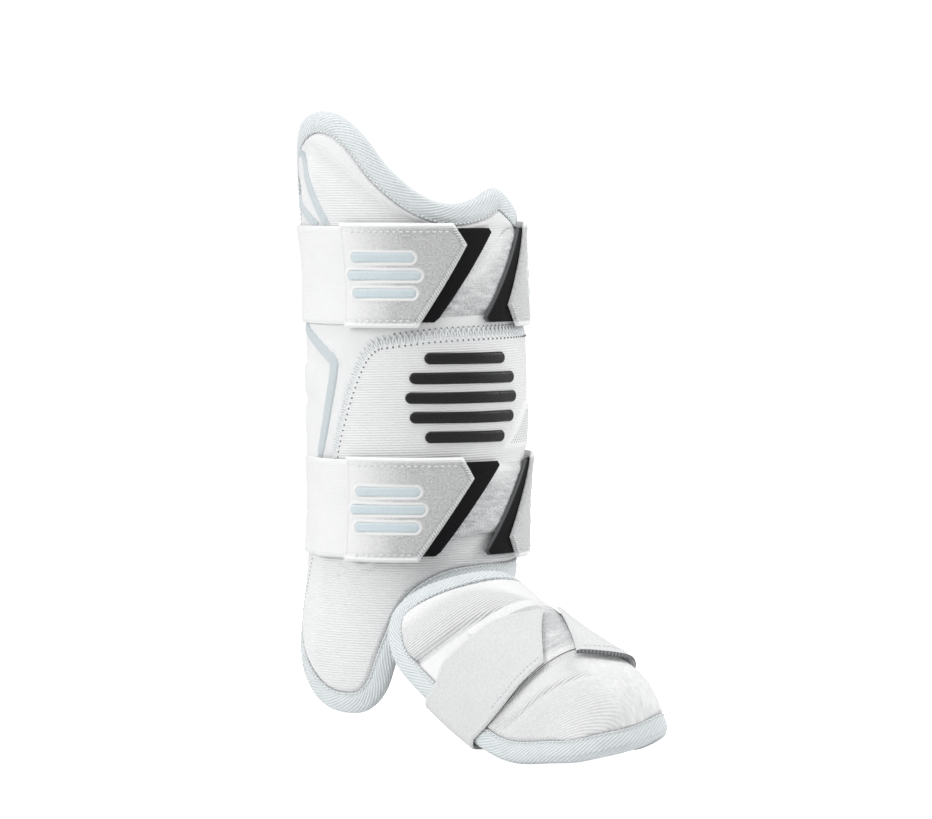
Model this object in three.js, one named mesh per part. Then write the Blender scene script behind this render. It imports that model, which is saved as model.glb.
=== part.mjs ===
// Batter's leg guard: a padded shin shell with an ankle flap, two calf straps and a strapped foot pad.
// Millimetres, +Z up, toe toward -Y. The origin is on the leg's axis, midway between the calf straps.
// The long side of the shell, with the ankle flap, is toward -X and is called the inner side.
import * as THREE from 'three';

// Walls and gaps
const PAD = 8;
const HEM = 3.4;
const HEM_SINK = 2.5;
const HEM_WIDTH = 11.2;
const HEM_RISE = 4.5;
const TAPE = 1.3;
const TAPE_WIDTH = 9.8;
const TAPE_ROOM = 1.8;
const TAPE_GAP = 0.85;
const TAPE_BACK_GAP = 1.6;
const GAP = 0.45;
const PANEL_GAP = 0.7;
const PANEL = 1.7;
const LOOP_FABRIC = 0.9;
const HOOK_GAP = 0.6;
const HOOK = 1.4;
const TAB = 2;
const ELASTIC = 1.6;
const BAR = 1.5;
const STRIPE = 1;

// Calf straps: height of the middle, angle of the gap between the tabs, and the face that each lies on
const ELASTIC_WIDTH = 58;
const STRAPS = [
  { name: 'upper', z: 70, middle: 10, floor: 0 },
  { name: 'lower', z: -67.7, middle: 11, floor: PANEL_GAP + PANEL },
];
const TAB_REAR = -79.5;
const BAND_START = -74;
const HOOK_TUCK = 8;

// Tab and hook outlines, from the strap's middle: height in millimetres, angle in degrees
const TAB_END = [
  { height: -30.8, angle: -40.5 },
  { height: 18, angle: -13.2 },
  { height: 30.8, angle: -20 },
];
const TAB_MIDDLES = [-13, 3];
const HOOK_END = [
  { height: -27.6, angle: -32 },
  { height: -25.2, angle: -29.4 },
  { height: 25.4, angle: 4 },
  { height: 27.8, angle: 2 },
];
const HOOK_MIDDLES = [-8, 9];

// The outside of the shell in plan, by height: an oval that the straps draw in
const LEG = [
  { z: -200, halfWidth: 65, halfDepth: 66, shift: -5 },
  { z: -155, halfWidth: 65.6, halfDepth: 65, shift: -4.4 },
  { z: -112, halfWidth: 63.2, halfDepth: 62.8, shift: -2.4 },
  { z: -68, halfWidth: 61.8, halfDepth: 62.4, shift: -0.8 },
  { z: -34, halfWidth: 63.4, halfDepth: 64, shift: 0 },
  { z: 4, halfWidth: 64.6, halfDepth: 65, shift: 0 },
  { z: 40, halfWidth: 64.2, halfDepth: 64.4, shift: -1 },
  { z: 72, halfWidth: 63.6, halfDepth: 63.6, shift: -2 },
  { z: 104, halfWidth: 65, halfDepth: 64.6, shift: -4.5 },
  { z: 172, halfWidth: 66, halfDepth: 64.6, shift: -7.5 },
];
const LEG_RADIUS = 64;

// Top and bottom edges of the shell, by angle from the front of the shin, inner side negative
const TOP_EDGE = [
  { angle: -134, z: 110 },
  { angle: -126, z: 133 },
  { angle: -117, z: 147 },
  { angle: -106, z: 156.5 },
  { angle: -94, z: 162 },
  { angle: -82, z: 163.5 },
  { angle: -69, z: 159.5 },
  { angle: -57, z: 149 },
  { angle: -44, z: 131 },
  { angle: -27, z: 115.5 },
  { angle: -10, z: 109 },
  { angle: 9, z: 112 },
  { angle: 24, z: 118 },
  { angle: 36, z: 113 },
  { angle: 48, z: 107.5 },
  { angle: 62, z: 105.5 },
  { angle: 82, z: 96 },
  { angle: 92, z: 72 },
];
const BOTTOM_EDGE = [
  { angle: -134, z: -106 },
  { angle: -127, z: -138 },
  { angle: -113, z: -159 },
  { angle: -95, z: -175.5 },
  { angle: -80, z: -184 },
  { angle: -64, z: -186 },
  { angle: -54, z: -182.5 },
  { angle: -46, z: -172 },
  { angle: -41, z: -156 },
  { angle: -31.5, z: -129.5 },
  { angle: -17, z: -116 },
  { angle: 2, z: -111.5 },
  { angle: 57, z: -110 },
  { angle: 80, z: -103 },
  { angle: 92, z: -80 },
];

// Front panel: its inner side by height, its top and bottom by angle
const PANEL_SIDE = [
  { z: -110, angle: -89 },
  { z: -36, angle: -81 },
  { z: -4, angle: -72.5 },
  { z: 20, angle: -65 },
  { z: 40, angle: -58 },
];
const PANEL_OUTER = 70;
const PANEL_TOP = [
  { angle: -90, z: 28 },
  { angle: -57, z: 31 },
  { angle: -14, z: 36.5 },
  { angle: 70, z: 38 },
];
const PANEL_BOTTOM = [
  { angle: -90, z: -80 },
  { angle: 70, z: -80 },
];

// Raised strips on the inner side
const STRIPE_WIDTH = 5.5;
const STRIPES = [
  {
    name: 'side_stripe',
    path: [[-110, 37.7], [-95, 30], [-80, 19.5], [-81.5, 4], [-89, -22], [-94.2, -36.6]],
  },
  { name: 'upper_stripe_long', path: [[-106, 143], [-98, 129], [-90, 114.5], [-81.5, 101.2]] },
  { name: 'upper_stripe_short', path: [[-117, 115], [-103, 107.5], [-93.5, 101.8]] },
];

// Bars that stand in a lens on the front panel and on each tab
const SHIN_BARS = { count: 5, width: 75, height: 62, pitch: 11.6, bar: 6.8, angle: -4, z: -2 };
const TAB_BARS = { count: 3, width: 42, height: 38, pitch: 10.5, bar: 5.2, angle: -57 };

// Vent patch at the lower outer side of the panel
const VENT = { low: -35, high: -6, slantLow: 13, slantHigh: 42, outer: 58 };

// Foot pad as an arch over the foot, by reach forward of the leg's axis: the ridge's place and height,
// the half widths to the two sides, how far the sides drop below the ridge, and the arch's half angle
const FOOT = [
  { reach: 44, centre: -12, ridge: -94, inner: 50, outer: 61, drop: 46, arch: 70 },
  { reach: 88, centre: -11, ridge: -100, inner: 48, outer: 60, drop: 64.5, arch: 70 },
  { reach: 125, centre: -7, ridge: -116, inner: 44, outer: 55.5, drop: 72, arch: 70 },
  { reach: 160, centre: -3, ridge: -131, inner: 41.5, outer: 49, drop: 71.5, arch: 72 },
  { reach: 200, centre: 1, ridge: -149, inner: 40, outer: 41.5, drop: 53.5, arch: 80 },
  { reach: 216, centre: 3, ridge: -158.5, inner: 37.5, outer: 32, drop: 52.5, arch: 86 },
  { reach: 226, centre: 4, ridge: -170, inner: 33, outer: 27.5, drop: 51, arch: 89 },
  { reach: 231, centre: 4.5, ridge: -184, inner: 30.5, outer: 24.5, drop: 38, arch: 89.5 },
  { reach: 236, centre: 5, ridge: -197.5, inner: 28, outer: 22, drop: 14, arch: 90 },
];
const FOOT_SWEEP = 45;

// The outer corner of the toe curls up: its rise, and where the rise starts and ends
const FOOT_CURL = { rise: 6, reachFrom: 150, reachTo: 230, acrossFrom: -0.15, acrossTo: 0.6 };

// Outline of the pad on that arch: a swept ankle edge with rounded corners and a rounded toe
const FOOT_HEEL = { reach: 96, sweep: 125, round: 102, power: 4 };
const FOOT_TOE = { tip: 234.5, blunt: 0.8, innerLength: 50, outerLength: 60, power: 2.6 };
const FOOT_HEM = { sideShare: 0.35, toeShare: 0.9, widest: 0.8, roughShare: 0.18 };

// Foot strap: its stretch along the pad, where its two ends stop, and the loop fabric under them
const FOOT_STRAP = { rear: 135.5, front: 184.5, innerEnd: [0, -0.42], outerEnd: [0.24, -0.18] };
const FOOT_STRAP_LIFT = [
  { across: 0, lift: 2.8 },
  { across: 0.62, lift: 2.8 },
  { across: 0.78, lift: 1.4 },
  { across: 0.9, lift: 0.4 },
  { across: 1, lift: 0.4 },
];
const FOOT_STRAP_SAG = 1.5;
const FOOT_STRAP_GAP = 0.65;
const FOOT_LOOP = { rear: 129.5, front: 183, inner: -0.55, outer: 0.45 };

// Hidden strip that carries the foot pad from inside the shell's lower front edge
const LINK = { half: 16, heights: [-80, -101, -123.5], reach: [100, 111, 122], clearance: 1.5, wall: 1.6 };

// Mesh density
const SHELL_COLUMNS = 31;
const SHELL_ROWS = 9;
const SHELL_TAPE_STEPS = 88;
const FOOT_TAPE_STEPS = 58;
const EDGE_SAMPLES = 24;
const BAR_SPAN = 14;
const NEAR_PASSES = 8;
const FOOT_STEP = 0.5;
const ACROSS_STEP = 0.004;

// Colours of the cloths
const WHITE_CLOTH = { color: 0xf2f3f3, roughness: 0.9 };
const PALE_TAPE = { color: 0xd3dde1, roughness: 0.85 };
const TAB_CLOTH = { color: 0xe4e5e6, roughness: 0.95 };
const SILVER_LOOP = { color: 0xbfc2c4, roughness: 0.7 };
const BLACK_RUBBER = { color: 0x1c1d1e, roughness: 0.6 };
const WHITE_ELASTIC = { color: 0xeeefef, roughness: 0.85 };

const legGuard = new THREE.Group();
legGuard.name = 'leg_guard';

const radians = THREE.MathUtils.degToRad;
const mix = THREE.MathUtils.lerp;
const degreesPerMm = 180 / (Math.PI * LEG_RADIUS);

// Row just before a value in a table's key column
function rowBefore(table, key, at) {
  const next = table.findIndex((row) => row[key] >= at);
  return next < 0 ? table.length - 2 : Math.max(0, next - 1);
}

// Straight reading between the rows of a table
function straight(table, key, column, at) {
  const row = rowBefore(table, key, at);
  const from = table[row];
  const to = table[row + 1];
  const share = THREE.MathUtils.clamp((at - from[key]) / (to[key] - from[key]), 0, 1);
  return mix(from[column], to[column], share);
}

// Smooth reading: a cubic through the rows whose slopes average their neighbours'
function smooth(table, key, value, at) {
  const row = rowBefore(table, key, at);
  const slope = (index) => {
    const low = table[Math.max(0, index - 1)];
    const high = table[Math.min(table.length - 1, index + 1)];
    return (value(high) - value(low)) / (high[key] - low[key]);
  };
  const from = table[row];
  const to = table[row + 1];
  const span = to[key] - from[key];
  const t = THREE.MathUtils.clamp((at - from[key]) / span, 0, 1);
  const start = value(from) * (1 + 2 * t) * (1 - t) ** 2 + slope(row) * span * t * (1 - t) ** 2;
  const end = value(to) * t * t * (3 - 2 * t) + slope(row + 1) * span * t * t * (t - 1);
  return start + end;
}

// Point at an angle and height on the shell, lifted off its padded face
function legPoint(angle, z, lift) {
  const halfWidth = smooth(LEG, 'z', (row) => row.halfWidth, z) + lift;
  const halfDepth = smooth(LEG, 'z', (row) => row.halfDepth, z) + lift;
  const shift = smooth(LEG, 'z', (row) => row.shift, z);
  const turn = radians(angle);
  return new THREE.Vector3(shift + halfWidth * Math.sin(turn), -halfDepth * Math.cos(turn), z);
}

// Point on the arch over the foot, with across from the inner edge at -1 to the outer one at 1
function footFace(reach, across) {
  const read = (column) => smooth(FOOT, 'reach', (row) => row[column], reach);
  const arch = radians(read('arch'));
  const width = read(across < 0 ? 'inner' : 'outer');
  const x = read('centre') + (width * Math.sin(across * arch)) / Math.sin(arch);
  const z = read('ridge') - (read('drop') * (1 - Math.cos(across * arch))) / (1 - Math.cos(arch));
  const forward = THREE.MathUtils.smoothstep(reach, FOOT_CURL.reachFrom, FOOT_CURL.reachTo);
  const sideways = THREE.MathUtils.smoothstep(across, FOOT_CURL.acrossFrom, FOOT_CURL.acrossTo);
  return new THREE.Vector3(x, -reach, z + FOOT_CURL.rise * forward * sideways);
}

// Directions on the arch at a point: toward the toe, toward the outer side, and off the face
function footAxes(reach, across) {
  const toe = footFace(reach + FOOT_STEP, across).sub(footFace(reach - FOOT_STEP, across));
  const outer = footFace(reach, across + ACROSS_STEP).sub(footFace(reach, across - ACROSS_STEP));
  toe.divideScalar(2 * FOOT_STEP);
  outer.divideScalar(2 * ACROSS_STEP);
  const off = new THREE.Vector3().crossVectors(toe, outer).normalize();
  return { toe, outer, off };
}

function footPoint(reach, across, lift) {
  return footFace(reach, across).addScaledVector(footAxes(reach, across).off, lift);
}

// Place on the arch nearest to a point, found by stepping along the arch's own directions
function footNear(target, [fromReach, fromAcross]) {
  let reach = fromReach;
  let across = fromAcross;
  for (let pass = 0; pass < NEAR_PASSES; pass += 1) {
    const { toe, outer } = footAxes(reach, across);
    const miss = target.clone().sub(footFace(reach, across));
    const gram = toe.dot(toe) * outer.dot(outer) - toe.dot(outer) ** 2;
    reach += (miss.dot(toe) * outer.dot(outer) - miss.dot(outer) * toe.dot(outer)) / gram;
    across += (miss.dot(outer) * toe.dot(toe) - miss.dot(toe) * toe.dot(outer)) / gram;
  }
  return [reach, across];
}

// Reach of the ankle edge, and of a crosswise line that leans back at the sides like it
function heelReach(share) {
  const round = FOOT_HEEL.round * Math.abs(share) ** FOOT_HEEL.power;
  return FOOT_HEEL.reach - FOOT_HEEL.sweep * share ** 2 + round;
}

const swept = (reach, across) => reach - FOOT_SWEEP * across ** 2;

// Share of the arch that the pad spans on one side: all of it, then less round the toe
function toeShare(reach, sign) {
  const length = sign < 0 ? FOOT_TOE.innerLength : FOOT_TOE.outerLength;
  const { power } = FOOT_TOE;
  const past = THREE.MathUtils.clamp((reach - FOOT_TOE.tip + length) / length, 0, 1);
  return (1 - past ** power) ** (1 / power);
}

function meshFrom(points, index) {
  const geometry = new THREE.BufferGeometry();
  const position = points.flatMap((point) => point.toArray());
  geometry.setAttribute('position', new THREE.Float32BufferAttribute(position, 3));
  geometry.setIndex(index);
  geometry.computeVertexNormals();
  return geometry;
}

function addPiece(name, geometry, finish) {
  const mesh = new THREE.Mesh(geometry, new THREE.MeshStandardMaterial({ ...finish, metalness: 0 }));
  mesh.name = name;
  legGuard.add(mesh);
}

// Closed wall over a grid: point(column, row, side) with side 0 underneath and 1 on the face
function wall(columns, rows, point) {
  const points = [];
  const index = [];
  const across = rows + 1;
  const at = (column, row, side) => (side * (columns + 1) + column) * across + row;
  const quad = (a, b, c, d) => index.push(a, b, c, a, c, d);
  for (const side of [0, 1]) {
    for (let column = 0; column <= columns; column += 1) {
      for (let row = 0; row <= rows; row += 1) {
        points.push(point(column, row, side));
      }
    }
  }
  for (let c = 0; c < columns; c += 1) {
    for (let r = 0; r < rows; r += 1) {
      quad(at(c, r, 1), at(c + 1, r, 1), at(c + 1, r + 1, 1), at(c, r + 1, 1));
      quad(at(c, r, 0), at(c, r + 1, 0), at(c + 1, r + 1, 0), at(c + 1, r, 0));
    }
    quad(at(c, 0, 0), at(c + 1, 0, 0), at(c + 1, 0, 1), at(c, 0, 1));
    quad(at(c, rows, 1), at(c + 1, rows, 1), at(c + 1, rows, 0), at(c, rows, 0));
  }
  for (let r = 0; r < rows; r += 1) {
    quad(at(0, r, 0), at(0, r, 1), at(0, r + 1, 1), at(0, r + 1, 0));
    quad(at(columns, r, 1), at(columns, r, 0), at(columns, r + 1, 0), at(columns, r + 1, 1));
  }
  return meshFrom(points, index);
}

// Closed tape swept round a loop: point(step, corner) goes round a closed section at each step
function ring(steps, corners, point) {
  const points = [];
  const index = [];
  const at = (step, corner) => (step % steps) * corners + (corner % corners);
  for (let step = 0; step < steps; step += 1) {
    for (let corner = 0; corner < corners; corner += 1) {
      points.push(point(step, corner));
      const a = at(step, corner);
      const b = at(step + 1, corner);
      const c = at(step + 1, corner + 1);
      const d = at(step, corner + 1);
      index.push(a, b, c, a, c, d);
    }
  }
  return meshFrom(points, index);
}

// Folded tape section: distance in from the edge, and lift off the padded face
function tapeSection() {
  const face = TAPE_GAP - HEM_SINK;
  const back = -HEM_SINK - HEM - TAPE_BACK_GAP;
  const fold = -TAPE_ROOM - TAPE;
  return [
    [TAPE_WIDTH, face + TAPE],
    [0, face + TAPE],
    [fold, face - TAPE],
    [fold, back + TAPE],
    [0, back - TAPE],
    [TAPE_WIDTH, back - TAPE],
    [TAPE_WIDTH, back],
    [-TAPE_ROOM, back],
    [-TAPE_ROOM, face],
    [TAPE_WIDTH, face],
  ];
}

// Evenly spaced points on a closed loop of flat points, each with its direction of travel
function evenly(loop, steps) {
  const closed = [...loop, loop[0]].map(([x, y]) => new THREE.Vector2(x, y));
  const lengths = [0];
  for (let i = 1; i < closed.length; i += 1) {
    lengths.push(lengths[i - 1] + closed[i].distanceTo(closed[i - 1]));
  }
  const total = lengths.at(-1);
  const spot = (length) => {
    const wrapped = (length + total) % total;
    const next = Math.max(1, lengths.findIndex((value) => value >= wrapped));
    const share = (wrapped - lengths[next - 1]) / (lengths[next] - lengths[next - 1]);
    return closed[next - 1].clone().lerp(closed[next], share);
  };
  const stride = total / steps;
  return Array.from({ length: steps }, (_, step) => ({
    at: spot(step * stride),
    travel: spot((step + 0.5) * stride).sub(spot((step - 0.5) * stride)).normalize(),
  }));
}

const topEdge = (angle) => smooth(TOP_EDGE, 'angle', (row) => row.z, angle);
const bottomEdge = (angle) => smooth(BOTTOM_EDGE, 'angle', (row) => row.z, angle);
const SHELL_START = TOP_EDGE[0].angle;
const SHELL_END = TOP_EDGE.at(-1).angle;

// Height of an edge moved into the shell by a distance: up from the bottom edge, down from the top one
function inset(edge, angle, distance, up) {
  let best = edge(angle) + up * distance;
  for (let i = 0; i <= EDGE_SAMPLES; i += 1) {
    const along = mix(-distance, distance, i / EDGE_SAMPLES);
    const near = THREE.MathUtils.clamp(angle + along * degreesPerMm, SHELL_START, SHELL_END);
    const height = edge(near) + up * Math.sqrt(Math.max(0, distance ** 2 - along ** 2));
    best = up > 0 ? Math.max(best, height) : Math.min(best, height);
  }
  return best;
}

// Angles that share out the length of both edges evenly, so that steep stretches get more columns
function shellAngles(from, to, count) {
  const samples = 300;
  const angles = [from];
  const travel = [0];
  for (let i = 1; i <= samples; i += 1) {
    const angle = mix(from, to, i / samples);
    const last = angles.at(-1);
    const sideways = (angle - last) / degreesPerMm;
    const climb = topEdge(angle) - topEdge(last);
    const drop = bottomEdge(angle) - bottomEdge(last);
    travel.push(travel.at(-1) + Math.hypot(sideways, climb, drop));
    angles.push(angle);
  }
  return Array.from({ length: count + 1 }, (_, i) => {
    const wanted = (travel.at(-1) * i) / count;
    return angles[Math.max(0, travel.findIndex((length) => length >= wanted - 1e-6))];
  });
}

// Shell wall: full padding inside a flattened hem
function shinShell() {
  const ends = [0, 4, HEM_WIDTH].map((mm) => mm * degreesPerMm);
  const inner = ends.map((part) => SHELL_START + part);
  const outer = ends.map((part) => SHELL_END - part).reverse();
  const rise = (HEM_WIDTH + HEM_RISE) * degreesPerMm;
  const middle = shellAngles(SHELL_START + rise, SHELL_END - rise, SHELL_COLUMNS);
  const angles = [...inner, ...middle, ...outer];
  const hems = [0, HEM_WIDTH / 2, HEM_WIDTH, HEM_WIDTH + HEM_RISE];
  const heights = angles.map((angle) => {
    const low = hems.map((mm) => inset(bottomEdge, angle, mm, 1));
    const high = hems.map((mm) => inset(topEdge, angle, mm, -1)).reverse();
    const between = Array.from({ length: SHELL_ROWS - 1 }, (_, i) =>
      mix(low.at(-1), high[0], (i + 1) / SHELL_ROWS));
    return [...low, ...between, ...high];
  });
  const hemLines = hems.length - 1;
  const columns = angles.length - 1;
  const rows = heights[0].length - 1;
  return wall(columns, rows, (column, row, side) => {
    const hemmed = Math.min(column, columns - column, row, rows - row) < hemLines;
    const face = hemmed ? -HEM_SINK : 0;
    const back = hemmed ? -HEM_SINK - HEM : -PAD;
    return legPoint(angles[column], heights[column][row], side ? face : back);
  });
}

// Tape round the shell: along the top edge, down the outer side, back along the bottom and up
function shinBinding() {
  const samples = 240;
  const flat = [];
  for (let i = 0; i <= samples; i += 1) {
    const angle = mix(SHELL_START, SHELL_END, i / samples);
    flat.push([angle / degreesPerMm, topEdge(angle)]);
  }
  for (let i = 0; i <= samples; i += 1) {
    const angle = mix(SHELL_END, SHELL_START, i / samples);
    flat.push([angle / degreesPerMm, bottomEdge(angle)]);
  }
  const steps = evenly(flat, SHELL_TAPE_STEPS);
  const section = tapeSection();
  return ring(SHELL_TAPE_STEPS, section.length, (step, corner) => {
    const { at, travel } = steps[step];
    const [inward, lift] = section[corner];
    const along = at.x + travel.y * inward;
    return legPoint(along * degreesPerMm, at.y - travel.x * inward, lift);
  });
}

// Panel sewn on the front, thinner at its rim
function frontPanel() {
  const columns = 16;
  const rows = 7;
  return wall(columns, rows, (column, row, side) => {
    const share = row / rows;
    const roughZ = mix(PANEL_BOTTOM[0].z, PANEL_TOP[1].z, share);
    const start = smooth(PANEL_SIDE, 'z', (entry) => entry.angle, roughZ);
    const angle = mix(start, PANEL_OUTER, column / columns);
    const low = smooth(PANEL_BOTTOM, 'angle', (entry) => entry.z, angle);
    const high = smooth(PANEL_TOP, 'angle', (entry) => entry.z, angle);
    const rim = column === 0 || column === columns || row === 0 || row === rows;
    const thickness = rim ? PANEL / 2 : PANEL;
    return legPoint(angle, mix(low, high, share), PANEL_GAP + side * thickness);
  });
}

// Strip of even width along a path of angles and heights on the shell
function stripe(path) {
  const flat = path.map(([angle, z]) => new THREE.Vector3(angle / degreesPerMm, z, 0));
  const curve = new THREE.CatmullRomCurve3(flat, false, 'centripetal');
  const columns = 10;
  return wall(columns, 1, (column, row, side) => {
    const at = curve.getPointAt(column / columns);
    const travel = curve.getTangentAt(column / columns);
    const half = (row - 0.5) * STRIPE_WIDTH;
    return legPoint((at.x - travel.y * half) * degreesPerMm, at.y + travel.x * half, GAP + side * STRIPE);
  });
}

// Bar with round ends on the leg's face
function bar(angle, z, length, height, lift) {
  const spans = Math.ceil(length / BAR_SPAN);
  const straightPart = Array.from({ length: spans + 1 }, (_, i) => mix(-0.88, 0.88, i / spans));
  const ends = [-1, -0.96, ...straightPart, 0.96, 1];
  return wall(ends.length - 1, 1, (column, row, side) => {
    const along = (ends[column] * length) / 2;
    const past = Math.max(0, Math.abs(along) - (length - height) / 2) / (height / 2);
    const half = (height / 2) * Math.sqrt(Math.max(0.12, 1 - past ** 2));
    return legPoint(angle + along * degreesPerMm, z + (2 * row - 1) * half, lift + side * BAR);
  });
}

// Heights and lengths of the bars in a lens
function lensBars(lens) {
  return Array.from({ length: lens.count }, (_, i) => {
    const z = (i - (lens.count - 1) / 2) * lens.pitch;
    return { z, length: lens.width * Math.sqrt(1 - (z / (lens.height / 2)) ** 2 * 0.9) };
  });
}

function ventPatch() {
  const columns = 7;
  const rows = 3;
  const floor = PANEL_GAP + PANEL + GAP;
  return wall(columns, rows, (column, row, side) => {
    const start = mix(VENT.slantLow, VENT.slantHigh, row / rows);
    const angle = mix(start, VENT.outer, column / columns);
    return legPoint(angle, mix(VENT.low, VENT.high, row / rows), floor + side * LOOP_FABRIC);
  });
}

// Loop fabric under the tabs: the upper one has a slanted top, the lower one a bowed bottom
const LOOP_TOP = {
  upper: [{ angle: -46, z: -4 }, { angle: -7, z: 5 }, { angle: 20, z: 26 }, { angle: 46, z: 25 }],
  lower: [{ angle: -46, z: 25 }, { angle: 0, z: 26 }, { angle: 46, z: 26 }],
};
const LOOP_BOTTOM = {
  upper: [{ angle: -46, z: -26 }, { angle: 0, z: -23.5 }, { angle: 46, z: -24 }],
  lower: [{ angle: -46, z: -23 }, { angle: -5, z: -15 }, { angle: 46, z: -15 }],
};

function loopPanel(strap) {
  const columns = 12;
  const rows = 3;
  const reach = LOOP_TOP.upper.at(-1).angle;
  return wall(columns, rows, (column, row, side) => {
    const angle = mix(-reach, reach, column / columns);
    const high = smooth(LOOP_TOP[strap.name], 'angle', (entry) => entry.z, angle);
    const low = smooth(LOOP_BOTTOM[strap.name], 'angle', (entry) => entry.z, angle);
    const lift = strap.floor + GAP + side * LOOP_FABRIC;
    return legPoint(strap.middle + angle, strap.z + mix(low, high, row / rows), lift);
  });
}

// Heights above a strap's floor of its layers
const HOOK_LIFT = GAP + LOOP_FABRIC + HOOK_GAP;
const TAB_LIFT = HOOK_LIFT + HOOK + GAP;
const BAND_LIFT = 1;

// Place on a strap: the outer end is the inner end turned half a turn about the strap's middle
function strapPoint(strap, turn, angle, height, lift) {
  return legPoint(strap.middle + turn * angle, strap.z + turn * height, strap.floor + lift);
}

function strapTab(strap, turn) {
  const heights = [TAB_END[0].height, ...TAB_MIDDLES, TAB_END[1].height, TAB_END[2].height];
  const columns = 12;
  return wall(columns, heights.length - 1, (column, row, side) => {
    const end = straight(TAB_END, 'height', 'angle', heights[row]);
    const share = column / columns;
    const base = mix(BAND_LIFT + ELASTIC + GAP, TAB_LIFT, THREE.MathUtils.smoothstep(share, 0, 0.4));
    return strapPoint(strap, turn, mix(TAB_REAR, end, share), heights[row], base + side * TAB);
  });
}

function strapHook(strap, turn) {
  const heights = HOOK_END.map((row) => row.height);
  heights.splice(2, 0, ...HOOK_MIDDLES);
  const columns = 5;
  return wall(columns, heights.length - 1, (column, row, side) => {
    const start = straight(TAB_END, 'height', 'angle', heights[row]) - HOOK_TUCK;
    const end = straight(HOOK_END, 'height', 'angle', heights[row]);
    const angle = mix(start, end, column / columns);
    return strapPoint(strap, turn, angle, heights[row], HOOK_LIFT + side * HOOK);
  });
}

// Elastic band the plain way round the back of the leg, from under one tab to under the other
function strapBand(strap) {
  const columns = 30;
  const rows = 2;
  const from = strap.middle - BAND_START;
  const to = strap.middle + 360 + BAND_START;
  return wall(columns, rows, (column, row, side) => {
    const height = (row / rows - 0.5) * ELASTIC_WIDTH;
    const lift = strap.floor + BAND_LIFT + side * ELASTIC;
    return legPoint(mix(from, to, column / columns), strap.z + height, lift);
  });
}

// Length of the pad over the arch from its ridge to one edge
function footHalf(reach, sign) {
  const read = (column) => smooth(FOOT, 'reach', (row) => row[column], reach);
  return toeShare(reach, sign) * Math.hypot(read(sign < 0 ? 'inner' : 'outer'), read('drop'));
}

// Foot pad wall: full padding inside a flattened hem that keeps its width round the toe
function footPad() {
  const hemLines = 3;
  const columns = 14 + 2 * hemLines;
  const rows = 8 + 2 * hemLines;
  const ladder = (place, count, first, last) => {
    const [hemA, riseA] = first;
    const [hemB, riseB] = last;
    if (place < hemLines) {
      return (place * hemA) / (hemLines - 1);
    }
    if (place > count - hemLines) {
      return 1 - ((count - place) * hemB) / (hemLines - 1);
    }
    return mix(hemA + riseA, 1 - hemB - riseB, (place - hemLines) / (count - 2 * hemLines));
  };
  const reachAt = (column, share) => {
    const start = heelReach(share);
    const length = FOOT_TOE.tip - FOOT_TOE.blunt - start;
    const rear = (1 + FOOT_HEM.sideShare * Math.abs(share)) / length;
    const front = FOOT_HEM.toeShare / length;
    const first = [HEM_WIDTH * rear, HEM_RISE * rear];
    const last = [HEM_WIDTH * front, HEM_RISE * front];
    return start + length * ladder(column, columns, first, last);
  };
  const shareAt = (row, reach) => {
    const hem = (sign) => {
      const half = footHalf(reach, sign);
      const slope = (footHalf(reach - FOOT_STEP, sign) - half) / FOOT_STEP;
      const stretch = Math.hypot(1, slope) / (2 * half);
      const width = Math.min(FOOT_HEM.widest / 2, HEM_WIDTH * stretch);
      return [width, Math.min((1 - FOOT_HEM.widest) / 4, HEM_RISE * stretch)];
    };
    return 2 * ladder(row, rows, hem(-1), hem(1)) - 1;
  };
  return wall(columns, rows, (column, row, side) => {
    const rough = [FOOT_HEM.roughShare / 2, 0];
    let share = 2 * ladder(row, rows, rough, rough) - 1;
    for (let pass = 0; pass < NEAR_PASSES; pass += 1) {
      share = shareAt(row, reachAt(column, share));
    }
    const reach = reachAt(column, share);
    const hemmed = Math.min(column, columns - column, row, rows - row) < hemLines;
    const face = hemmed ? -HEM_SINK : 0;
    const back = hemmed ? -HEM_SINK - HEM : -PAD;
    return footPoint(reach, share * toeShare(reach, share), side ? face : back);
  });
}

// Outline of the foot pad as pairs of reach and across: ankle edge, outer edge, toe, inner edge
function footOutline() {
  const samples = 60;
  const shares = Array.from({ length: samples }, (_, i) => i / samples);
  const front = FOOT_TOE.tip - FOOT_TOE.blunt;
  const alongSide = (share) => mix(heelReach(1), front, Math.sin((share * Math.PI) / 2));
  const toward = shares.map(alongSide);
  const back = shares.map((share) => alongSide(1 - share));
  return [
    ...shares.map((share) => [heelReach(2 * share - 1), 2 * share - 1]),
    ...toward.map((reach) => [reach, toeShare(reach, 1)]),
    ...shares.map((share) => [front, mix(toeShare(front, 1), -toeShare(front, -1), share)]),
    ...back.map((reach) => [reach, -toeShare(reach, -1)]),
  ];
}

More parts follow.
